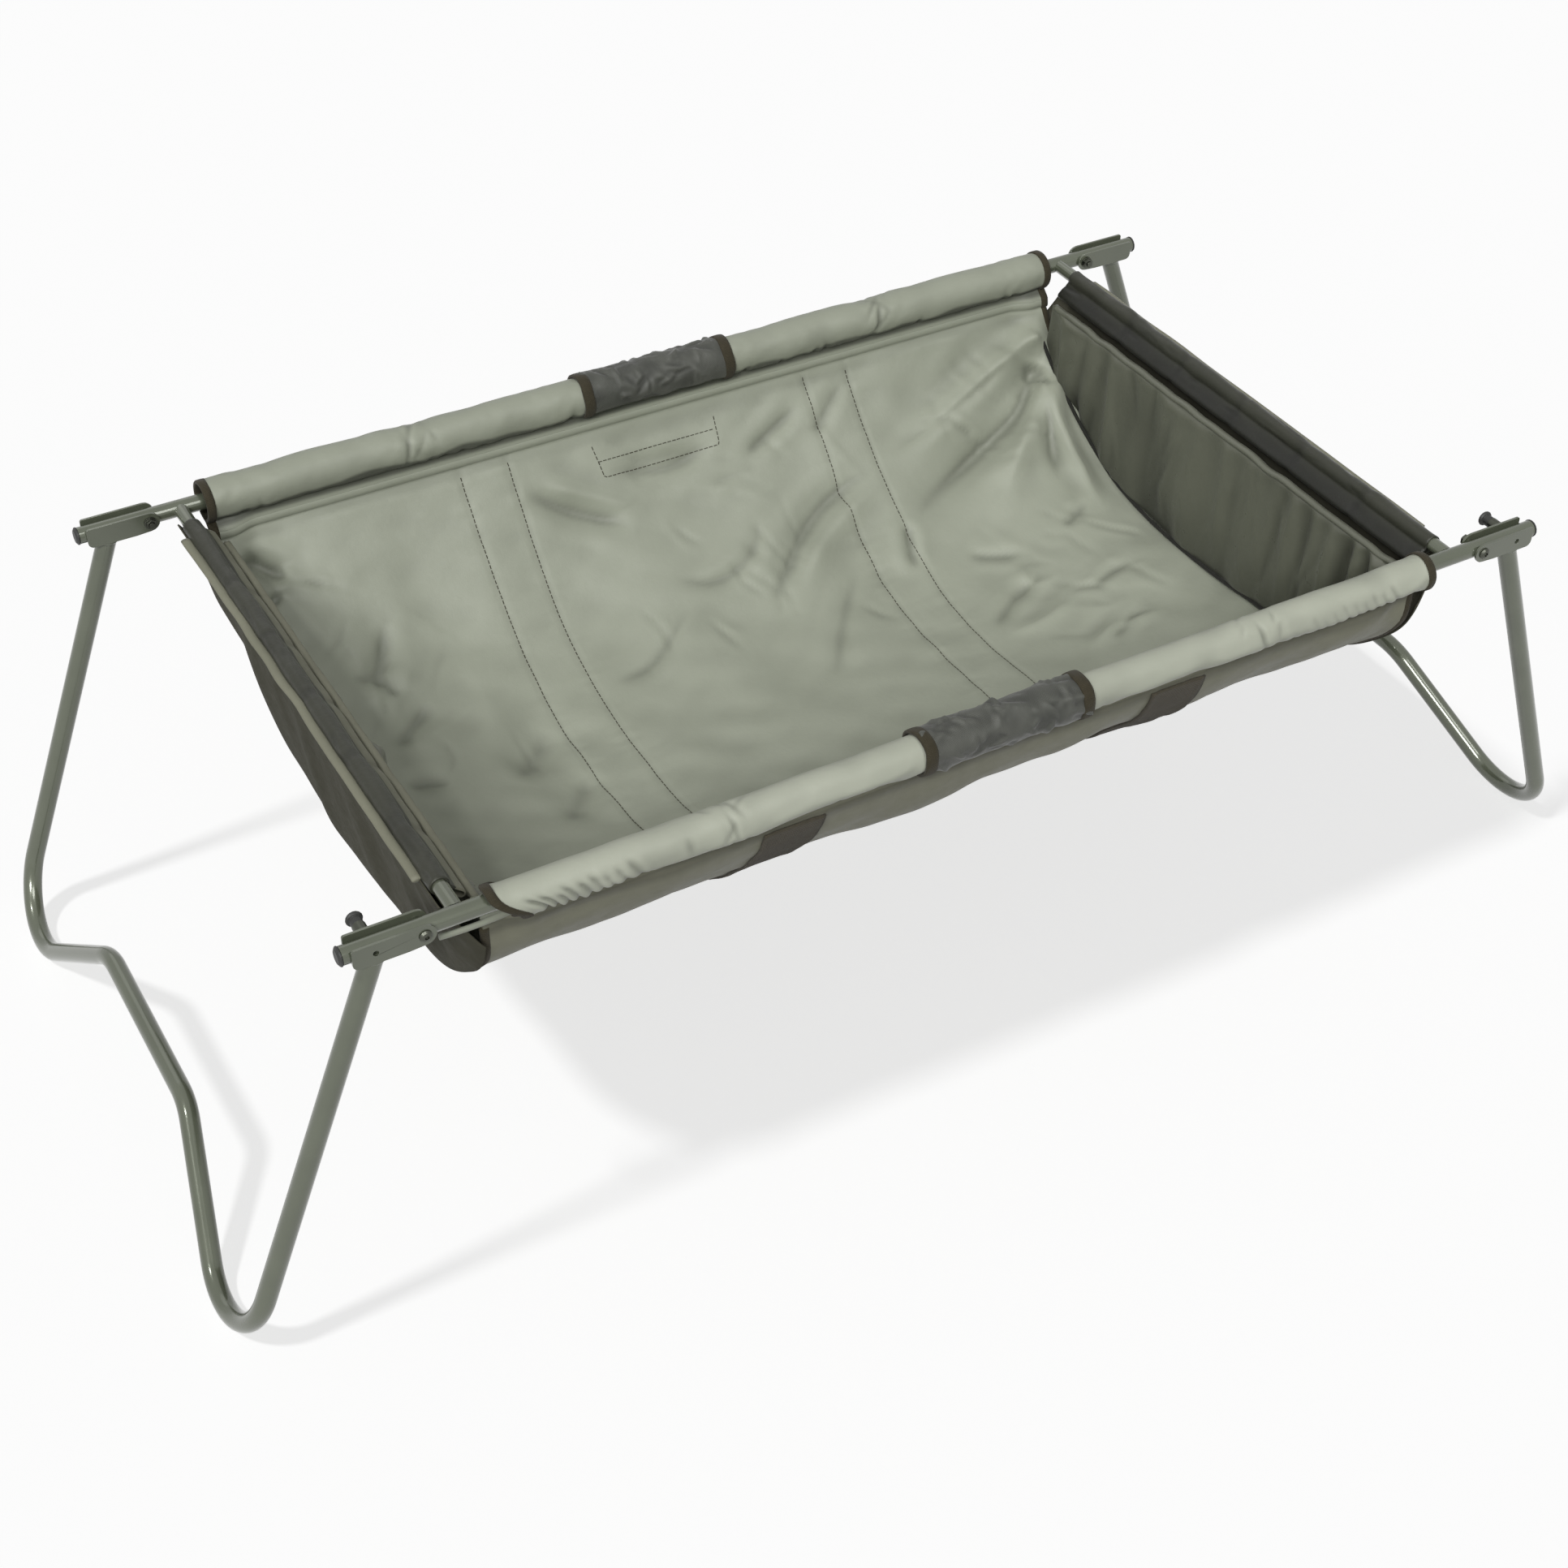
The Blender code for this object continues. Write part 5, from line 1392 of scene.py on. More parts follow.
@dataclass(frozen=True)
class BarCover:
    """A padded roll round one crossbar, whose tail leans towards the mat."""

    word: str
    end: int
    sizes: CradleSizes
    outline: RollOutline = RollOutline(7.6 * MM, 20.5 * MM, 3.0 * MM, 3.4 * MM, math.radians(48.6))
    columns: int = 211
    around: int = 61
    pinches: tuple[float, ...] = (-0.178, -0.096, -0.012, 0.071, 0.152)
    cloth_run: ClothRun = ClothRun(frames=18, growth=0.035, pressure=3.0, bending=0.06, cap=0.7 * MM)

    def place(self, y: np.ndarray, inward: np.ndarray, up: np.ndarray) -> np.ndarray:
        """Put places of the outline on the crossbar."""
        return np.stack([self.end * (self.sizes.crossbar_x - inward), y + 0 * inward,
                         self.sizes.rail_height + up], axis=-1)

    def build(self, palette: Palette) -> bpy.types.Object:
        """Make the roll, closed at its ends round the bar."""
        half = self.sizes.cover_half
        girth = self.outline.girth()
        row = np.linspace(-half - (10 * MM if self.end > 0 else 0.0), half, self.columns)
        y, share = np.meshgrid(row, np.linspace(0, 1, self.around), indexing="ij")
        v = share * girth
        draw = np.random.default_rng(90 + self.end)
        lift = waves(y, v, 91 + self.end, 0.07, 0.3 * MM) * np.sin(math.pi * share)
        for _ in range(44):
            at = draw.uniform(-half, half)
            across = draw.uniform(0.15, 0.85) * girth
            reach = draw.uniform(0.015, 0.05)
            lift = lift + Crease(((at, across), (at + reach, across + draw.normal(0, 0.004))),
                                 draw.uniform(1.4, 2.4) * MM, -draw.uniform(0.3, 0.8) * MM, 0.4, 0.4).lift(y, v, 1.0)
        for pinch in self.pinches:
            lift = lift - 0.8 * MM * np.exp(-((y - pinch) / 0.0055) ** 2)
        lift = np.clip(lift, -0.8 * MM, 1.0 * MM)
        lift[:, -1] = lift[:, 0]
        smooth = self.place(y, *self.outline.at(share))[::2, ::2]
        held = (np.minimum(share, 1 - share) * girth < 3 * MM) | (y > half - 4 * MM) | (y < row[0] + 4 * MM)
        held = held * 1.0
        for pinch in self.pinches:
            held = np.maximum(held, 0.35 * np.exp(-((y - pinch) / 0.005) ** 2))
        move = self.cloth_run.moves(smooth, held[::2, ::2], self.end > 0)
        body = self.place(y, *self.outline.at(share, lift)) + resample(move, self.columns, self.around)
        caps = []
        for end in (0, -1):
            for inset in (1.5 * MM, 0.7 * MM):
                caps.append(self.place(y[:1] * 0 + row[end], *self.outline.at(share[:1], -inset)))
        places = np.concatenate(caps[:2] + [body] + caps[:1:-1])
        u = np.concatenate([np.full(2, row[0]), row, np.full(2, row[-1])])
        weave = np.stack(np.meshgrid(u, v[0], indexing="ij"), axis=-1)
        edge = (v[0, 1:] + v[0, :-1]) / 2
        pale = np.minimum(edge, girth - edge) < 13 * MM
        # Painted shade: the right roll darkens from its crest down its web, and each roll darkens in its crease
        # valleys.
        tail = 0.8 * (1 - ease((np.minimum(v, girth - v) - 9 * MM) / (19 * MM))) * (self.end > 0)
        shade = np.pad(np.clip(tail + 0.5 * np.clip(-lift / (1.2 * MM), 0, 1), 0, 0.9), ((2, 2), (0, 0)), "edge")
        mesh = cloth_mesh(f"{self.word}_bar_cover", places, weave, self.end > 0, True, pale, shade)
        piece = add_piece(f"{self.word}_bar_roll", mesh, palette.dark_olive)
        # The left roll's web takes the lighter copy of the cloth: painted light.
        mesh.materials.append(palette.back if self.end < 0 else palette.dark_olive)
        return piece


@dataclass(frozen=True)
class EndPanel:
    """A padded panel that closes one end of the trough."""

    word: str
    end: int
    sizes: CradleSizes
    form: TroughForm
    thickness: float = 13 * MM
    columns: int = 161
    rows: int = 49
    foot_inset: float = 28 * MM
    top_inset: float = 24.5 * MM
    top_drop: float = 21 * MM
    foot_gap: float = 0.7 * MM
    margin: float = 1 / 16
    piping: float = 1.7 * MM
    cloth_run: ClothRun = ClothRun(frames=20, growth=0.035, pressure=1.5, gravity=0.3, bending=0.06, cap=3.5 * MM)

    def middle(self, across: np.ndarray, up: np.ndarray) -> np.ndarray:
        """Points half way through the panel, by shares across it and up it."""
        foot_x = self.end * (self.sizes.crossbar_x - self.foot_inset)
        top_x = self.end * (self.sizes.crossbar_x - self.top_inset)
        share = self.margin + (1 - 2 * self.margin) * across
        x = np.full(share.shape, foot_x)
        foot = self.form.points(x, share) + self.form.inward(x, share) * self.foot_gap
        top_z = self.sizes.rail_height - self.top_drop
        return np.stack([foot_x + (top_x - foot_x) * up, foot[..., 1], foot[..., 2] + (top_z - foot[..., 2]) * up],
                        axis=-1)

    def drapes(self, across: np.ndarray, points: np.ndarray, seed: int) -> np.ndarray:
        """How far soft upright drapes and a few creases lift a face."""
        y = points[..., 1]
        z = points[..., 2]
        draw = np.random.default_rng(seed)
        lift = waves(y, 0.12 * z, seed, 0.055, 1.6 * MM) + waves(y, z, seed + 1, 0.12, 1.2 * MM)
        for at, slant, height in ((-0.236, 4, 5.0), (-0.222, 6, -5.0), (-0.208, 3, 5.5), (-0.192, -5, -5.0),
                                  (-0.176, 2, 4.6), (-0.150, 8, -4.4), (-0.128, 4, 4.0), (-0.100, -10, -3.4),
                                  (-0.04, 14, 2.6), (0.06, -12, -2.4), (0.13, 16, 2.8), (0.19, -6, -2.4)):
            lift = lift + Crease(((at, 0.20), (at + slant * MM, 0.35)), 6 * MM, height * MM, 0.5, 0.25).lift(y, z, 1)
        for _ in range(34):
            at = draw.uniform(-0.23, 0.23)
            low = draw.uniform(0.20, 0.29)
            reach = draw.uniform(0.03, 0.09)
            lift = lift + Crease(((at, low), (at + draw.normal(0, 0.016), low + reach)),
                                 draw.uniform(2.5, 5.0) * MM, draw.choice([-1, 1]) * draw.uniform(0.7, 1.8) * MM,
                                 0.4, 0.4).lift(y, z, 1.0)
        return lift

    def face(self, way: int) -> tuple[np.ndarray, np.ndarray]:
        """Points of the face that looks along X by its way, 1 or -1, and the painted shade on them."""
        across, up = np.meshgrid(np.linspace(0, 1, self.columns), np.linspace(0, 1, self.rows), indexing="ij")
        points = self.middle(across, up)
        rim = np.clip((1 - np.abs(2 * up - 1)) / 0.14, 0, 1) * np.clip((1 - np.abs(2 * across - 1)) / 0.06, 0, 1)
        edge = np.sqrt(1 - (1 - rim) ** 2)
        swell = self.thickness / 2 * (0.72 * edge + 0.28 * np.sin(math.pi * up) * np.sin(math.pi * across))
        drapes = self.drapes(across, points, 120 + 7 * self.end + way) * edge ** 2
        points[..., 0] += way * (swell + drapes)
        # Painted shade in the drape valleys and towards the foot.
        dark = np.clip(0.65 * np.clip(-drapes / (5 * MM), 0, 1) + 0.5 * (1 - ease(up / 0.6)) * edge, 0, 0.8)
        coarse = points[::2, ::2]
        held = np.zeros(coarse.shape[:2])
        held[:1] = held[-1:] = 1.0
        held[:, :1] = held[:, -1:] = 1.0
        return points + resample(self.cloth_run.moves(coarse, held, way < 0), self.columns, self.rows), dark

    def build(self, palette: Palette) -> bpy.types.Object:
        """Make the panel from its two faces, sewn round the edge."""
        (near, near_dark), (far, far_dark) = self.face(-1), self.face(1)
        places = np.concatenate([near, far[:, ::-1], near[:, :1]], axis=1)
        dark = np.concatenate([near_dark, far_dark[:, ::-1], near_dark[:, :1]], axis=1)
        weave = places[..., 1:]
        mesh = cloth_mesh(f"{self.word}_panel", places, weave, False, True, hollow=dark)
        face_out(mesh)
        return add_piece(f"{self.word}_padded_end", mesh, palette.olive)

    def build_welt(self, palette: Palette) -> bpy.types.Object:
        """Make the welt along the panel's top."""
        across = np.linspace(0.012, 0.988, 121)
        line = self.middle(across, np.full(across.shape, 1.0))
        line[:, 2] += waves(across, across * 0, 150 + self.end, 0.09, 0.5 * MM)
        # The left welt takes the lighter copy of the cloth: painted light; the right one stays olive.
        return cord(f"{self.word}_panel_welt", line, 7.5 * MM, 5.0 * MM, np.array([0, 0, 1.0]),
                    palette.back if self.end < 0 else palette.olive)

    def build_piping(self, palette: Palette) -> bpy.types.Object:
        """Make the dark cord sewn into the foot seam, on the side that faces the trough."""
        across = np.linspace(0.004, 0.996, 121)
        line = self.middle(across, np.full(across.shape, 0.0))
        line[:, 0] -= self.end * self.thickness * 0.42
        line[:, 2] += 1.2 * MM
        return cord(f"{self.word}_panel_piping", line, 2 * self.piping, 2 * self.piping,
                    np.array([0, 0, 1.0]), palette.black_tape)


@dataclass(frozen=True)
class EndSkirt:
    """The cloth that hangs from a crossbar's cover, outside the panel, down to the mat's end."""

    word: str
    end: int
    sizes: CradleSizes
    form: TroughForm
    thickness: float = 1.2 * MM
    columns: int = 161
    rows: int = 41
    margin: float = 0.02
    cloth_run: ClothRun = ClothRun(frames=18, growth=0.02, gravity=1.0, bending=0.1, cap=4 * MM)

    def build(self, palette: Palette) -> bpy.types.Object:
        """Make the skirt with its drapes."""
        across, up = np.meshgrid(np.linspace(0, 1, self.columns), np.linspace(0, 1, self.rows), indexing="ij")
        share = self.margin + (1 - 2 * self.margin) * across
        x = np.full(share.shape, self.end * (self.form.half + 0.8 * MM))
        foot = self.form.points(x * 0.998, share) - self.form.inward(x * 0.998, share) * 5.2 * MM
        top_x = self.end * (self.sizes.crossbar_x + 8.6 * MM)
        top_z = self.sizes.rail_height - 2 * MM
        points = np.stack([x + (top_x - x) * up ** 0.8, foot[..., 1] * (1 - 0.03 * up),
                           foot[..., 2] + (top_z - foot[..., 2]) * up], axis=-1)
        fade = np.sin(math.pi * np.clip(up, 0, 1)) ** 0.7
        points[..., 0] += self.end * fade * (waves(points[..., 1], 0.15 * points[..., 2], 140 + self.end, 0.06, 1.6 * MM)
                                             - 2.5 * MM)
        coarse = points[::2, ::2]
        held = np.zeros(coarse.shape[:2])
        held[:, :1] = held[:, -2:] = 1.0
        held[:1] = held[-1:] = 1.0
        points = points + resample(self.cloth_run.moves(coarse, held), self.columns, self.rows)
        mesh = cloth_mesh(f"{self.word}_skirt", points, points[..., 1:], self.end < 0)
        piece = add_piece(f"{self.word}_end_skirt", mesh, palette.drab)
        wall = piece.modifiers.new("wall", "SOLIDIFY")
        wall.thickness = self.thickness
        wall.offset = 0.0
        settle(piece)
        return piece

    def build_hem(self, palette: Palette) -> bpy.types.Object:
        """Make the pale hem along the skirt's top, outside the bar's roll, in the lighter copy of the cloth as painted
        light on this ridge.
        """
        y = np.linspace(-0.235, 0.235, 121)
        x = self.end * (self.sizes.crossbar_x + 10.2 * MM) + waves(y, y * 0, 160 + self.end, 0.07, 0.4 * MM)
        line = np.stack([x, y, np.full(121, self.sizes.rail_height - 1.5 * MM)], axis=-1)
        return cord(f"{self.word}_skirt_hem", line, 8 * MM, 4 * MM, np.array([0, 0, 1.0]), palette.back)

    def build_corner_fold(self, palette: Palette) -> bpy.types.Object:
        """Make the folded edge that shows under the front sleeve's mouth."""
        share = np.linspace(0, 1, 40)
        y = -self.sizes.rail_y + 6 * MM + 5 * MM * share ** 2
        z = self.sizes.rail_height - 21 * MM - 5 * MM * share
        line = np.stack([self.end * (0.452 - 0.055 * share), y, z], axis=-1)
        return cord(f"{self.word}_corner_fold", line, 5 * MM, 4 * MM, np.array([0, -1.0, 0]), palette.sage)

    def area(self) -> tuple[float, float, float]:
        """Width, height and area of the cut cloth."""
        across = np.linspace(0, 1, 100)
        share = self.margin + (1 - 2 * self.margin) * across
        foot = self.form.points(np.full(100, self.form.half), share)
        drop = self.sizes.rail_height - foot[:, 2]
        width = foot[-1, 1] - foot[0, 1]
        tall = drop + 8 * MM
        area = np.sum((tall[1:] + tall[:-1]) / 2 * np.diff(foot[:, 1]))
        return float(width), float(tall.max()), float(area)


# Rigid pieces

@dataclass(frozen=True)
class LegTube:
    """A bent leg tube, swept smoothly along its bends."""

    word: str
    end: int
    sizes: CradleSizes
    radius: float = 8 * MM
    splay: float = math.radians(21)
    offset: float = 31.2 * MM
    foot_bend: float = 55 * MM
    raised_bend: float = 48 * MM
    raised_height: float = 85.8 * MM
    diagonal: float = math.radians(36)
    foot_flat: float = 0.6 * MM
    channel_floor: float = 9.6 * MM
    sides: int = 40

    def point(self, depth: float, across: float) -> Vector:
        """A point of the leg's plane, by its depth along the leg and its place across it."""
        x = self.sizes.pivot_x + self.offset + depth * math.sin(self.splay)
        return Vector((self.end * x, across, self.sizes.rail_height - depth * math.cos(self.splay)))

    def corners(self) -> list[Vector]:
        """Corners of the tube's centre line."""
        height = self.sizes.rail_height
        lowest = (height - self.radius + self.foot_flat) / math.cos(self.splay)
        foot = lowest + self.foot_bend * (math.tan((math.pi / 2 + self.diagonal) / 2) - 1)
        raised = (height - self.raised_height) / math.cos(self.splay)
        raised_y = self.sizes.rail_y - (foot - raised) / math.tan(self.diagonal)
        rail_y = self.sizes.rail_y
        return [self.point(0, -rail_y), self.point(foot, -rail_y), self.point(raised, -raised_y),
                self.point(raised, raised_y), self.point(foot, rail_y), self.point(0, rail_y)]

    def build(self, palette: Palette) -> bpy.types.Object:
        """Make the tube."""
        corners = self.corners()
        bends = (self.foot_bend, self.raised_bend, self.raised_bend, self.foot_bend)
        bm = bmesh.new()
        ahead = (corners[1] - corners[0]).normalized()
        place = Matrix.Translation(corners[0]) @ ahead.to_track_quat("Z", "Y").to_matrix().to_4x4()
        bmesh.ops.create_circle(bm, segments=self.sides, radius=self.radius, matrix=place)
        ring = list(bm.edges)
        at = corners[0]
        for before, corner, after, bend in zip(corners, corners[1:], corners[2:], bends):
            back = (before - corner).normalized()
            ahead = (after - corner).normalized()
            half = back.angle(ahead) / 2
            centre = corner + (back + ahead).normalized() * (bend / math.sin(half))
            start = corner + back * (bend / math.tan(half))
            ring = self.extrude(bm, ring, start - at)
            axis = (start - centre).cross(corner - centre).normalized()
            sweep = math.pi - 2 * half
            made = bmesh.ops.spin(bm, geom=ring, cent=centre, axis=axis, angle=sweep,
                                  steps=round(math.degrees(sweep) / 4), use_merge=False)
            ring = [item for item in made["geom_last"] if isinstance(item, bmesh.types.BMEdge)]
            at = corner + ahead * (bend / math.tan(half))
        self.extrude(bm, ring, corners[-1] - at)
        bmesh.ops.remove_doubles(bm, verts=bm.verts, dist=1e-6)
        bmesh.ops.bisect_plane(bm, geom=list(bm.verts) + list(bm.edges) + list(bm.faces), dist=1e-6,
                               plane_co=(0, 0, self.sizes.rail_height - self.channel_floor), plane_no=(0, 0, 1),
                               clear_outer=True)
        bmesh.ops.holes_fill(bm, edges=[edge for edge in bm.edges if edge.is_boundary], sides=0)
        bmesh.ops.recalc_face_normals(bm, faces=bm.faces)
        for vertex in bm.verts:
            vertex.co.z = max(vertex.co.z, 0.0)
        return finish_rigid(f"{self.word}_bent_tube", bm, palette.paint)

    def extrude(self, bm: bmesh.types.BMesh, ring: list, move: Vector) -> list:
        """Carry a ring of edges on by a move, and return the new ring."""
        made = bmesh.ops.extrude_edge_only(bm, edges=ring)["geom"]
        bmesh.ops.translate(bm, vec=move, verts=[item for item in made if isinstance(item, bmesh.types.BMVert)])
        return [item for item in made if isinstance(item, bmesh.types.BMEdge)]

    def build_weld(self, palette: Palette, side: int) -> bpy.types.Object:
        """Make the rippled bead that joins one top of the tube to its channel."""
        bm = bmesh.new()
        place = Matrix.Translation((self.radius, 0, 0)) @ Matrix.Rotation(math.pi / 2, 4, "X")
        bmesh.ops.create_circle(bm, segments=10, radius=1.5 * MM, matrix=place)
        bmesh.ops.spin(bm, geom=list(bm.edges), cent=(0, 0, 0), axis=(0, 0, 1), angle=2 * math.pi, steps=56,
                       use_merge=True)
        bmesh.ops.remove_doubles(bm, verts=bm.verts, dist=1e-6)
        for vertex in bm.verts:
            ripple = 1 + 0.022 * math.sin(28 * math.atan2(vertex.co.y, vertex.co.x))
            vertex.co.x *= ripple / math.cos(self.splay)
            vertex.co.y *= ripple
        bmesh.ops.recalc_face_normals(bm, faces=bm.faces)
        depth = (self.channel_floor + 0.4 * MM) / math.cos(self.splay)
        bmesh.ops.translate(bm, vec=self.point(depth, side * self.sizes.rail_y), verts=bm.verts)
        row = "rear" if side > 0 else "front"
        return finish_rigid(f"{row}_{self.word}_leg_weld", bm, palette.paint)


def finish_rigid(name: str, bm: bmesh.types.BMesh, material: bpy.types.Material) -> bpy.types.Object:
    """Turn a bmesh into a rigid piece with smooth rounds and sharp corners."""
    mesh = bpy.data.meshes.new(name)
    bm.to_mesh(mesh)
    bm.free()
    mesh.shade_smooth()
    mesh.set_sharp_from_angle(angle=math.radians(38))
    return add_piece(name, mesh, material)


def smoothed_node(name: str, material: bpy.types.Material, edge: float) -> bpy.types.Object:
    """A copy of a CAD node with its triangles merged, its rounds smooth and its edges broken.

    Args:
        name: the CAD node.
        material: its finish.
        edge: width of the broken edges.

    Returns:
        The piece that stands for the node.
    """
    node = frame["nodes"][name]
    bm = bmesh.new()
    bm.from_mesh(node.data)
    bmesh.ops.remove_doubles(bm, verts=bm.verts, dist=1e-6)
    bmesh.ops.dissolve_limit(bm, angle_limit=math.radians(1), verts=bm.verts, edges=bm.edges)
    piece = finish_rigid(f"{name}_finished", bm, material)
    bevel = piece.modifiers.new("broken_edges", "BEVEL")
    bevel.width = edge
    bevel.segments = 2
    bevel.limit_method = "ANGLE"
    bevel.angle_limit = math.radians(38)
    bevel.use_clamp_overlap = True
    bevel.harden_normals = True
    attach(piece, node.parent.name.split(":")[1])
    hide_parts(name)
    return piece


# Stage

@dataclass(frozen=True)
class PhotoCamera:
    """The camera at the photograph's place."""

    place: tuple[float, float, float] = (-0.8727, -1.4518, 1.5088)
    yaw: float = math.radians(30.413)
    pitch: float = math.radians(39.901)
    roll: float = math.radians(0.968)
    lens: float = 57.006

    def build(self) -> None:
        """Put the camera in place."""
        ahead = Vector((math.sin(self.yaw) * math.cos(self.pitch), math.cos(self.yaw) * math.cos(self.pitch),
                        -math.sin(self.pitch)))
        right = ahead.cross(Vector((0, 0, 1))).normalized()
        above = right.cross(ahead)
        tilted = math.cos(self.roll) * right + math.sin(self.roll) * above
        upright = -math.sin(self.roll) * right + math.cos(self.roll) * above
        data = bpy.data.cameras.new("photo_camera")
        data.lens = self.lens
        data.sensor_fit = "HORIZONTAL"
        data.clip_start = 0.01
        camera = bpy.data.objects.new("photo_camera", data)
        camera.matrix_world = (Matrix.Translation(self.place)
                               @ Matrix((tilted, upright, -ahead)).transposed().to_4x4())
        bpy.context.scene.collection.objects.link(camera)
        bpy.context.scene.camera = camera


@dataclass(frozen=True)
class Lamp:
    """A far lamp, by where it stands round the cradle and above it, in degrees."""

    name: str
    turn: float
    rise: float
    strength: float
    width: float
    on_floor: bool = False

    def build(self) -> bpy.types.Object:
        """Hang the lamp."""
        data = bpy.data.lights.new(self.name, "SUN")
        data.energy = self.strength
        data.angle = math.radians(self.width)
        turn, rise = math.radians(self.turn), math.radians(self.rise)
        place = Vector((math.cos(turn) * math.cos(rise), math.sin(turn) * math.cos(rise), math.sin(rise)))
        lamp = bpy.data.objects.new(self.name, data)
        lamp.location = 3 * place
        lamp.rotation_euler = (-place).to_track_quat("-Z", "Y").to_euler()
        bpy.context.scene.collection.objects.link(lamp)
        return lamp


@dataclass(frozen=True)
class Studio:
    """A white floor under a dim sky, and lamps of which one alone draws a shadow on the floor."""

    sky: float = 0.10
    floor: float = 0.85
    glow: float = 0.735
    lamps: tuple[Lamp, ...] = (
        Lamp("shadow_lamp", 184, 60, 0.72, 6, True),
        Lamp("front_left_box", 226, 36, 1.80, 16),
        Lamp("front_box", 272, 46, 1.05, 24),
        Lamp("rear_box", 88, 38, 0.12, 30),
    )

    def build(self) -> None:
        """Add the floor and the lights."""
        floor = self.build_floor()
        self.build_sky()
        spared = bpy.data.collections.new("not_lit_from_the_front")
        spared.objects.link(floor)
        spared.collection_objects[0].light_linking.link_state = "EXCLUDE"
        for lamp in self.lamps:
            holder = lamp.build()
            if not lamp.on_floor:
                holder.light_linking.receiver_collection = spared
        bpy.context.scene.view_settings.view_transform = "Standard"

    def seen(self, tree: bpy.types.NodeTree) -> bpy.types.NodeSocket:
        """A factor that is 1 for rays from the camera, or through gloss and glass."""
        path = add_node(tree, "ShaderNodeLightPath")
        first = add_node(tree, "ShaderNodeMath", {"operation": "MAXIMUM"},
                         {0: path.outputs["Is Camera Ray"], 1: path.outputs["Is Glossy Ray"]})
        both = add_node(tree, "ShaderNodeMath", {"operation": "MAXIMUM"},
                        {0: first.outputs[0], 1: path.outputs["Is Transmission Ray"]})
        return both.outputs[0]

    def build_floor(self) -> bpy.types.Object:
        """A white floor that keeps a light shadow."""
        material = bpy.data.materials.new("white_paper_floor")
        material.use_nodes = True
        tree = material.node_tree
        tree.nodes.clear()
        paper = add_node(tree, "ShaderNodeBsdfDiffuse", inputs={"Color": (0.8, 0.8, 0.8, 1)})
        shaded = add_node(tree, "ShaderNodeBsdfDiffuse", inputs={"Color": (self.floor,) * 3 + (1,)})
        glow = add_node(tree, "ShaderNodeEmission", inputs={"Strength": self.glow})
        lit = add_node(tree, "ShaderNodeAddShader", inputs={0: shaded.outputs[0], 1: glow.outputs[0]})
        mix = add_node(tree, "ShaderNodeMixShader", inputs={
            0: self.seen(tree), 1: paper.outputs[0], 2: lit.outputs[0]})
        add_node(tree, "ShaderNodeOutputMaterial", inputs={"Surface": mix.outputs[0]})
        bm = bmesh.new()
        bmesh.ops.create_grid(bm, x_segments=1, y_segments=1, size=12.0)
        mesh = bpy.data.meshes.new("floor")
        bm.to_mesh(mesh)
        bm.free()
        floor = add_piece("floor", mesh, material)
        return floor

    def build_sky(self) -> None:
        """A soft even sky that looks white."""
        world = bpy.data.worlds.new("studio")
        world.use_nodes = True
        tree = world.node_tree
        tree.nodes.clear()
        light = add_node(tree, "ShaderNodeBackground", inputs={"Strength": self.sky})
        white = add_node(tree, "ShaderNodeBackground", inputs={"Strength": 1.0})
        mix = add_node(tree, "ShaderNodeMixShader", inputs={
            0: self.seen(tree), 1: light.outputs[0], 2: white.outputs[0]})
        add_node(tree, "ShaderNodeOutputWorld", inputs={"Surface": mix.outputs[0]})
        bpy.context.scene.world = world


# Assembly

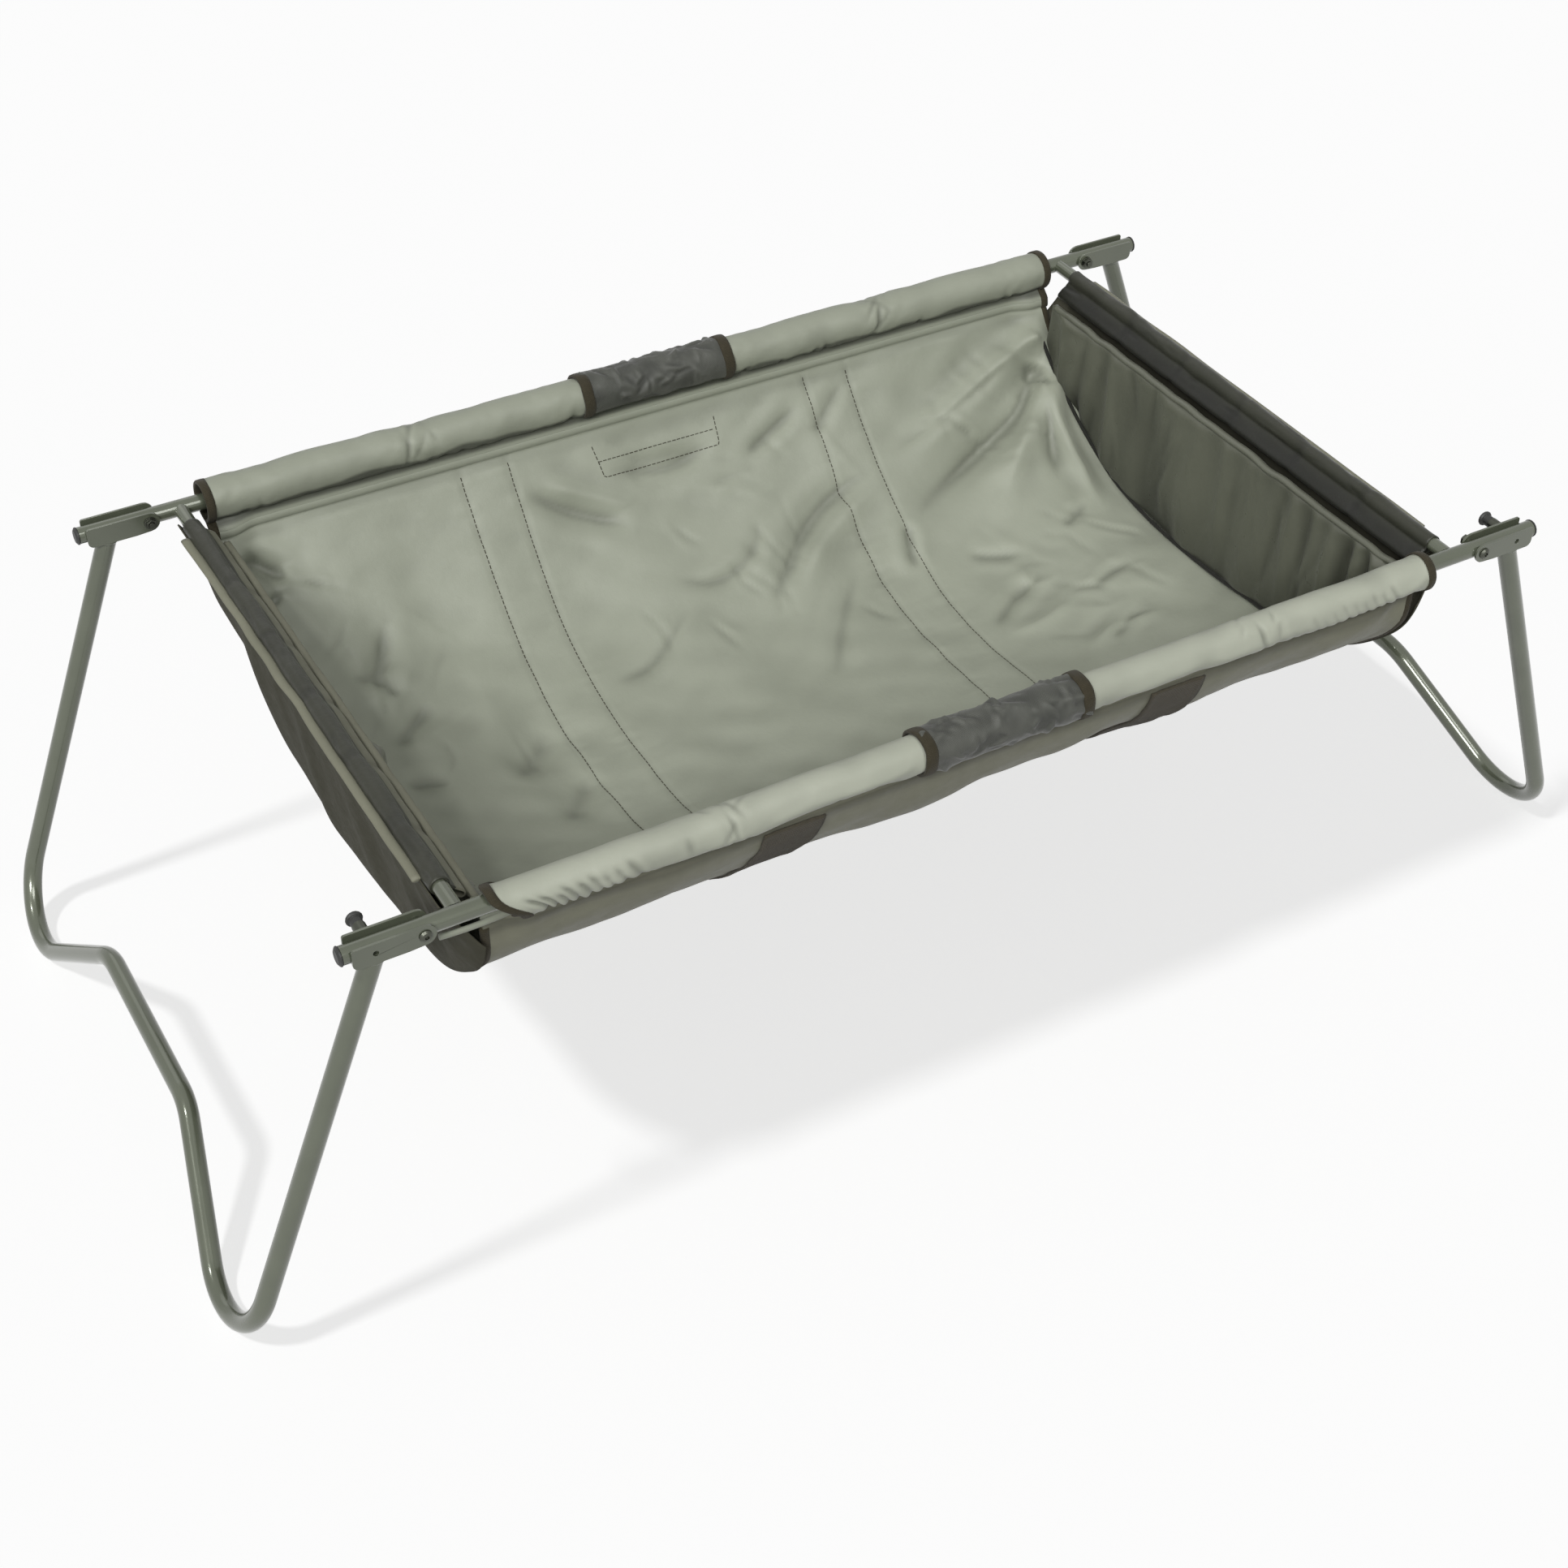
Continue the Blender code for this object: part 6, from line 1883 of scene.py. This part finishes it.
@dataclass(frozen=True)
class Cradle:
    """Every piece of the cradle, and how it rides on the frame."""

    sizes: CradleSizes
    palette: Palette
    keep: float = 0.175
    lock_stroke: float = 4 * MM

    def declare(self, piece: bpy.types.Object, slot: str, *nodes: str, body: str = "frame") -> bpy.types.Object:
        """Hang a piece on a body, and hide the CAD nodes that it stands for."""
        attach(piece, body)
        if nodes:
            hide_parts(*nodes)
        return piece

    def give_way(self, piece: bpy.types.Object) -> None:
        """Give a piece its own copy of its mesh."""
        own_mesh(piece)

    def shorten(self, spring: bpy.types.Object) -> None:
        """Apply a spring's modifiers and give it its own copy of its mesh."""
        settle(spring)
        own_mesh(spring)

    def build(self) -> None:
        """Build every piece."""
        form = TroughForm(self.sizes.rail_height)
        front = RollOutline(15.4 * MM, 27.6 * MM, 2.8 * MM, 1.6 * MM, math.radians(16.6), 4 * MM)
        rear = RollOutline(17.2 * MM, 31.4 * MM, 2.8 * MM, 1.6 * MM, math.radians(14.5))
        self.build_row(RailSleeve("front", -1, self.sizes, front, short_end=9 * MM, slant=24 * MM),
                       RailGrip("front", -1, self.sizes, inner=16.0 * MM, sag=4 * MM))
        self.build_row(RailSleeve("rear", 1, self.sizes, rear), RailGrip("rear", 1, self.sizes))
        self.build_mat(HungMat(form, self.sizes, (front, rear)))
        for word, end in (("left", -1), ("right", 1)):
            self.build_end(word, end, form)
            self.build_leg(LegTube(word, end, self.sizes))
        for name, node in frame["nodes"].items():
            if not node.hide_render:
                piece = smoothed_node(name, *self.palette.of_node(name))
                if name.endswith("_lock_spring"):
                    self.shorten(piece)

    def build_row(self, sleeve: RailSleeve, grip: RailGrip) -> None:
        """Build one rail's foam, sleeve, bindings and grip."""
        row = sleeve.row
        foam = self.declare(sleeve.build_foam(self.palette), "foam", f"{row}_rail_foam")
        cover = self.declare(sleeve.build(self.palette, foam), "sage_fabric", f"{row}_sleeve")
        wrap = self.declare(grip.build(self.palette), "wrap", f"{row}_grip")
        ends = [self.declare(grip.build_end(self.palette, end), "webbing") for end in (-1, 1)]
        for end in (-1, 1):
            self.declare(sleeve.build_binding(self.palette, end), "webbing")

    def build_mat(self, mat: HungMat) -> None:
        """Build the mat with its straps and stitches."""
        girth = mat.form.girth()
        piece, face = mat.build(self.palette)
        self.declare(piece, "sage_fabric", "mat")
        stitches = self.declare(MatStitches(mat, face).build(self.palette), "webbing")
        hems = [self.build_hem(word, end, mat, face) for word, end in (("left", -1), ("right", 1))]
        for part in (piece, stitches, *hems):
            self.give_way(part)
        for word, end in (("left", -1), ("right", 1)):
            strap = MatStrap(word, end, mat.strap_x)
            webbing = self.declare(strap.build(self.palette, face, mat.thickness + 0.3 * MM, girth), "webbing",
                                   f"{word}_strap")
            self.give_way(webbing)

    def build_hem(self, word: str, end: int, mat: HungMat, face: MatFace) -> bpy.types.Object:
        """Build the tape that binds one end of the mat."""
        share = np.linspace(0.004, 0.999, 161)
        x = np.full(161, end * mat.form.half)
        line = face.at(x, share, mat.thickness / 2)
        line[:, 0] -= end * 2 * MM
        facing = face.at(x, share, 0.0) - face.at(x, share, 1 * MM)
        return self.declare(cord(f"{word}_end_hem", line, 8 * MM, 6 * MM, facing, self.palette.binding), "webbing")

    def build_end(self, word: str, end: int, form: TroughForm) -> None:
        """Build one end's roll, padded panel and skirt."""
        roll = self.declare(BarCover(word, end, self.sizes).build(self.palette), "olive_fabric", f"{word}_bar_cover")
        panel = EndPanel(word, end, self.sizes, form)
        pad = self.declare(panel.build(self.palette), "olive_fabric", f"{word}_end_panel")
        piping = self.declare(panel.build_piping(self.palette), "olive_fabric")
        welt = self.declare(panel.build_welt(self.palette), "sage_fabric")
        skirt = EndSkirt(word, end, self.sizes, form)
        cloth = self.declare(skirt.build(self.palette), "olive_fabric")
        width, height, area = skirt.area()
        hem = self.declare(skirt.build_hem(self.palette), "olive_fabric")
        folds = [self.declare(skirt.build_corner_fold(self.palette), "sage_fabric")] if end < 0 else []
        for piece in (pad, piping, welt, cloth, hem, *folds):
            self.give_way(piece)

    def build_leg(self, leg: LegTube) -> None:
        """Build one leg's tube and its welds."""
        body = f"{leg.word}_leg"
        self.declare(leg.build(self.palette), "painted_tube", f"{leg.word}_leg_tube", body=body)
        for side in (-1, 1):
            self.declare(leg.build_weld(self.palette, side), "painted_tube", body=body)


def main() -> None:
    """Build the looks of the cradle."""
    logging.basicConfig(level=logging.INFO, format="%(message)s")
    PhotoCamera().build()
    Studio().build()
    Cradle(CradleSizes.from_frame(), Palette()).build()


if __name__ == "__main__":
    main()
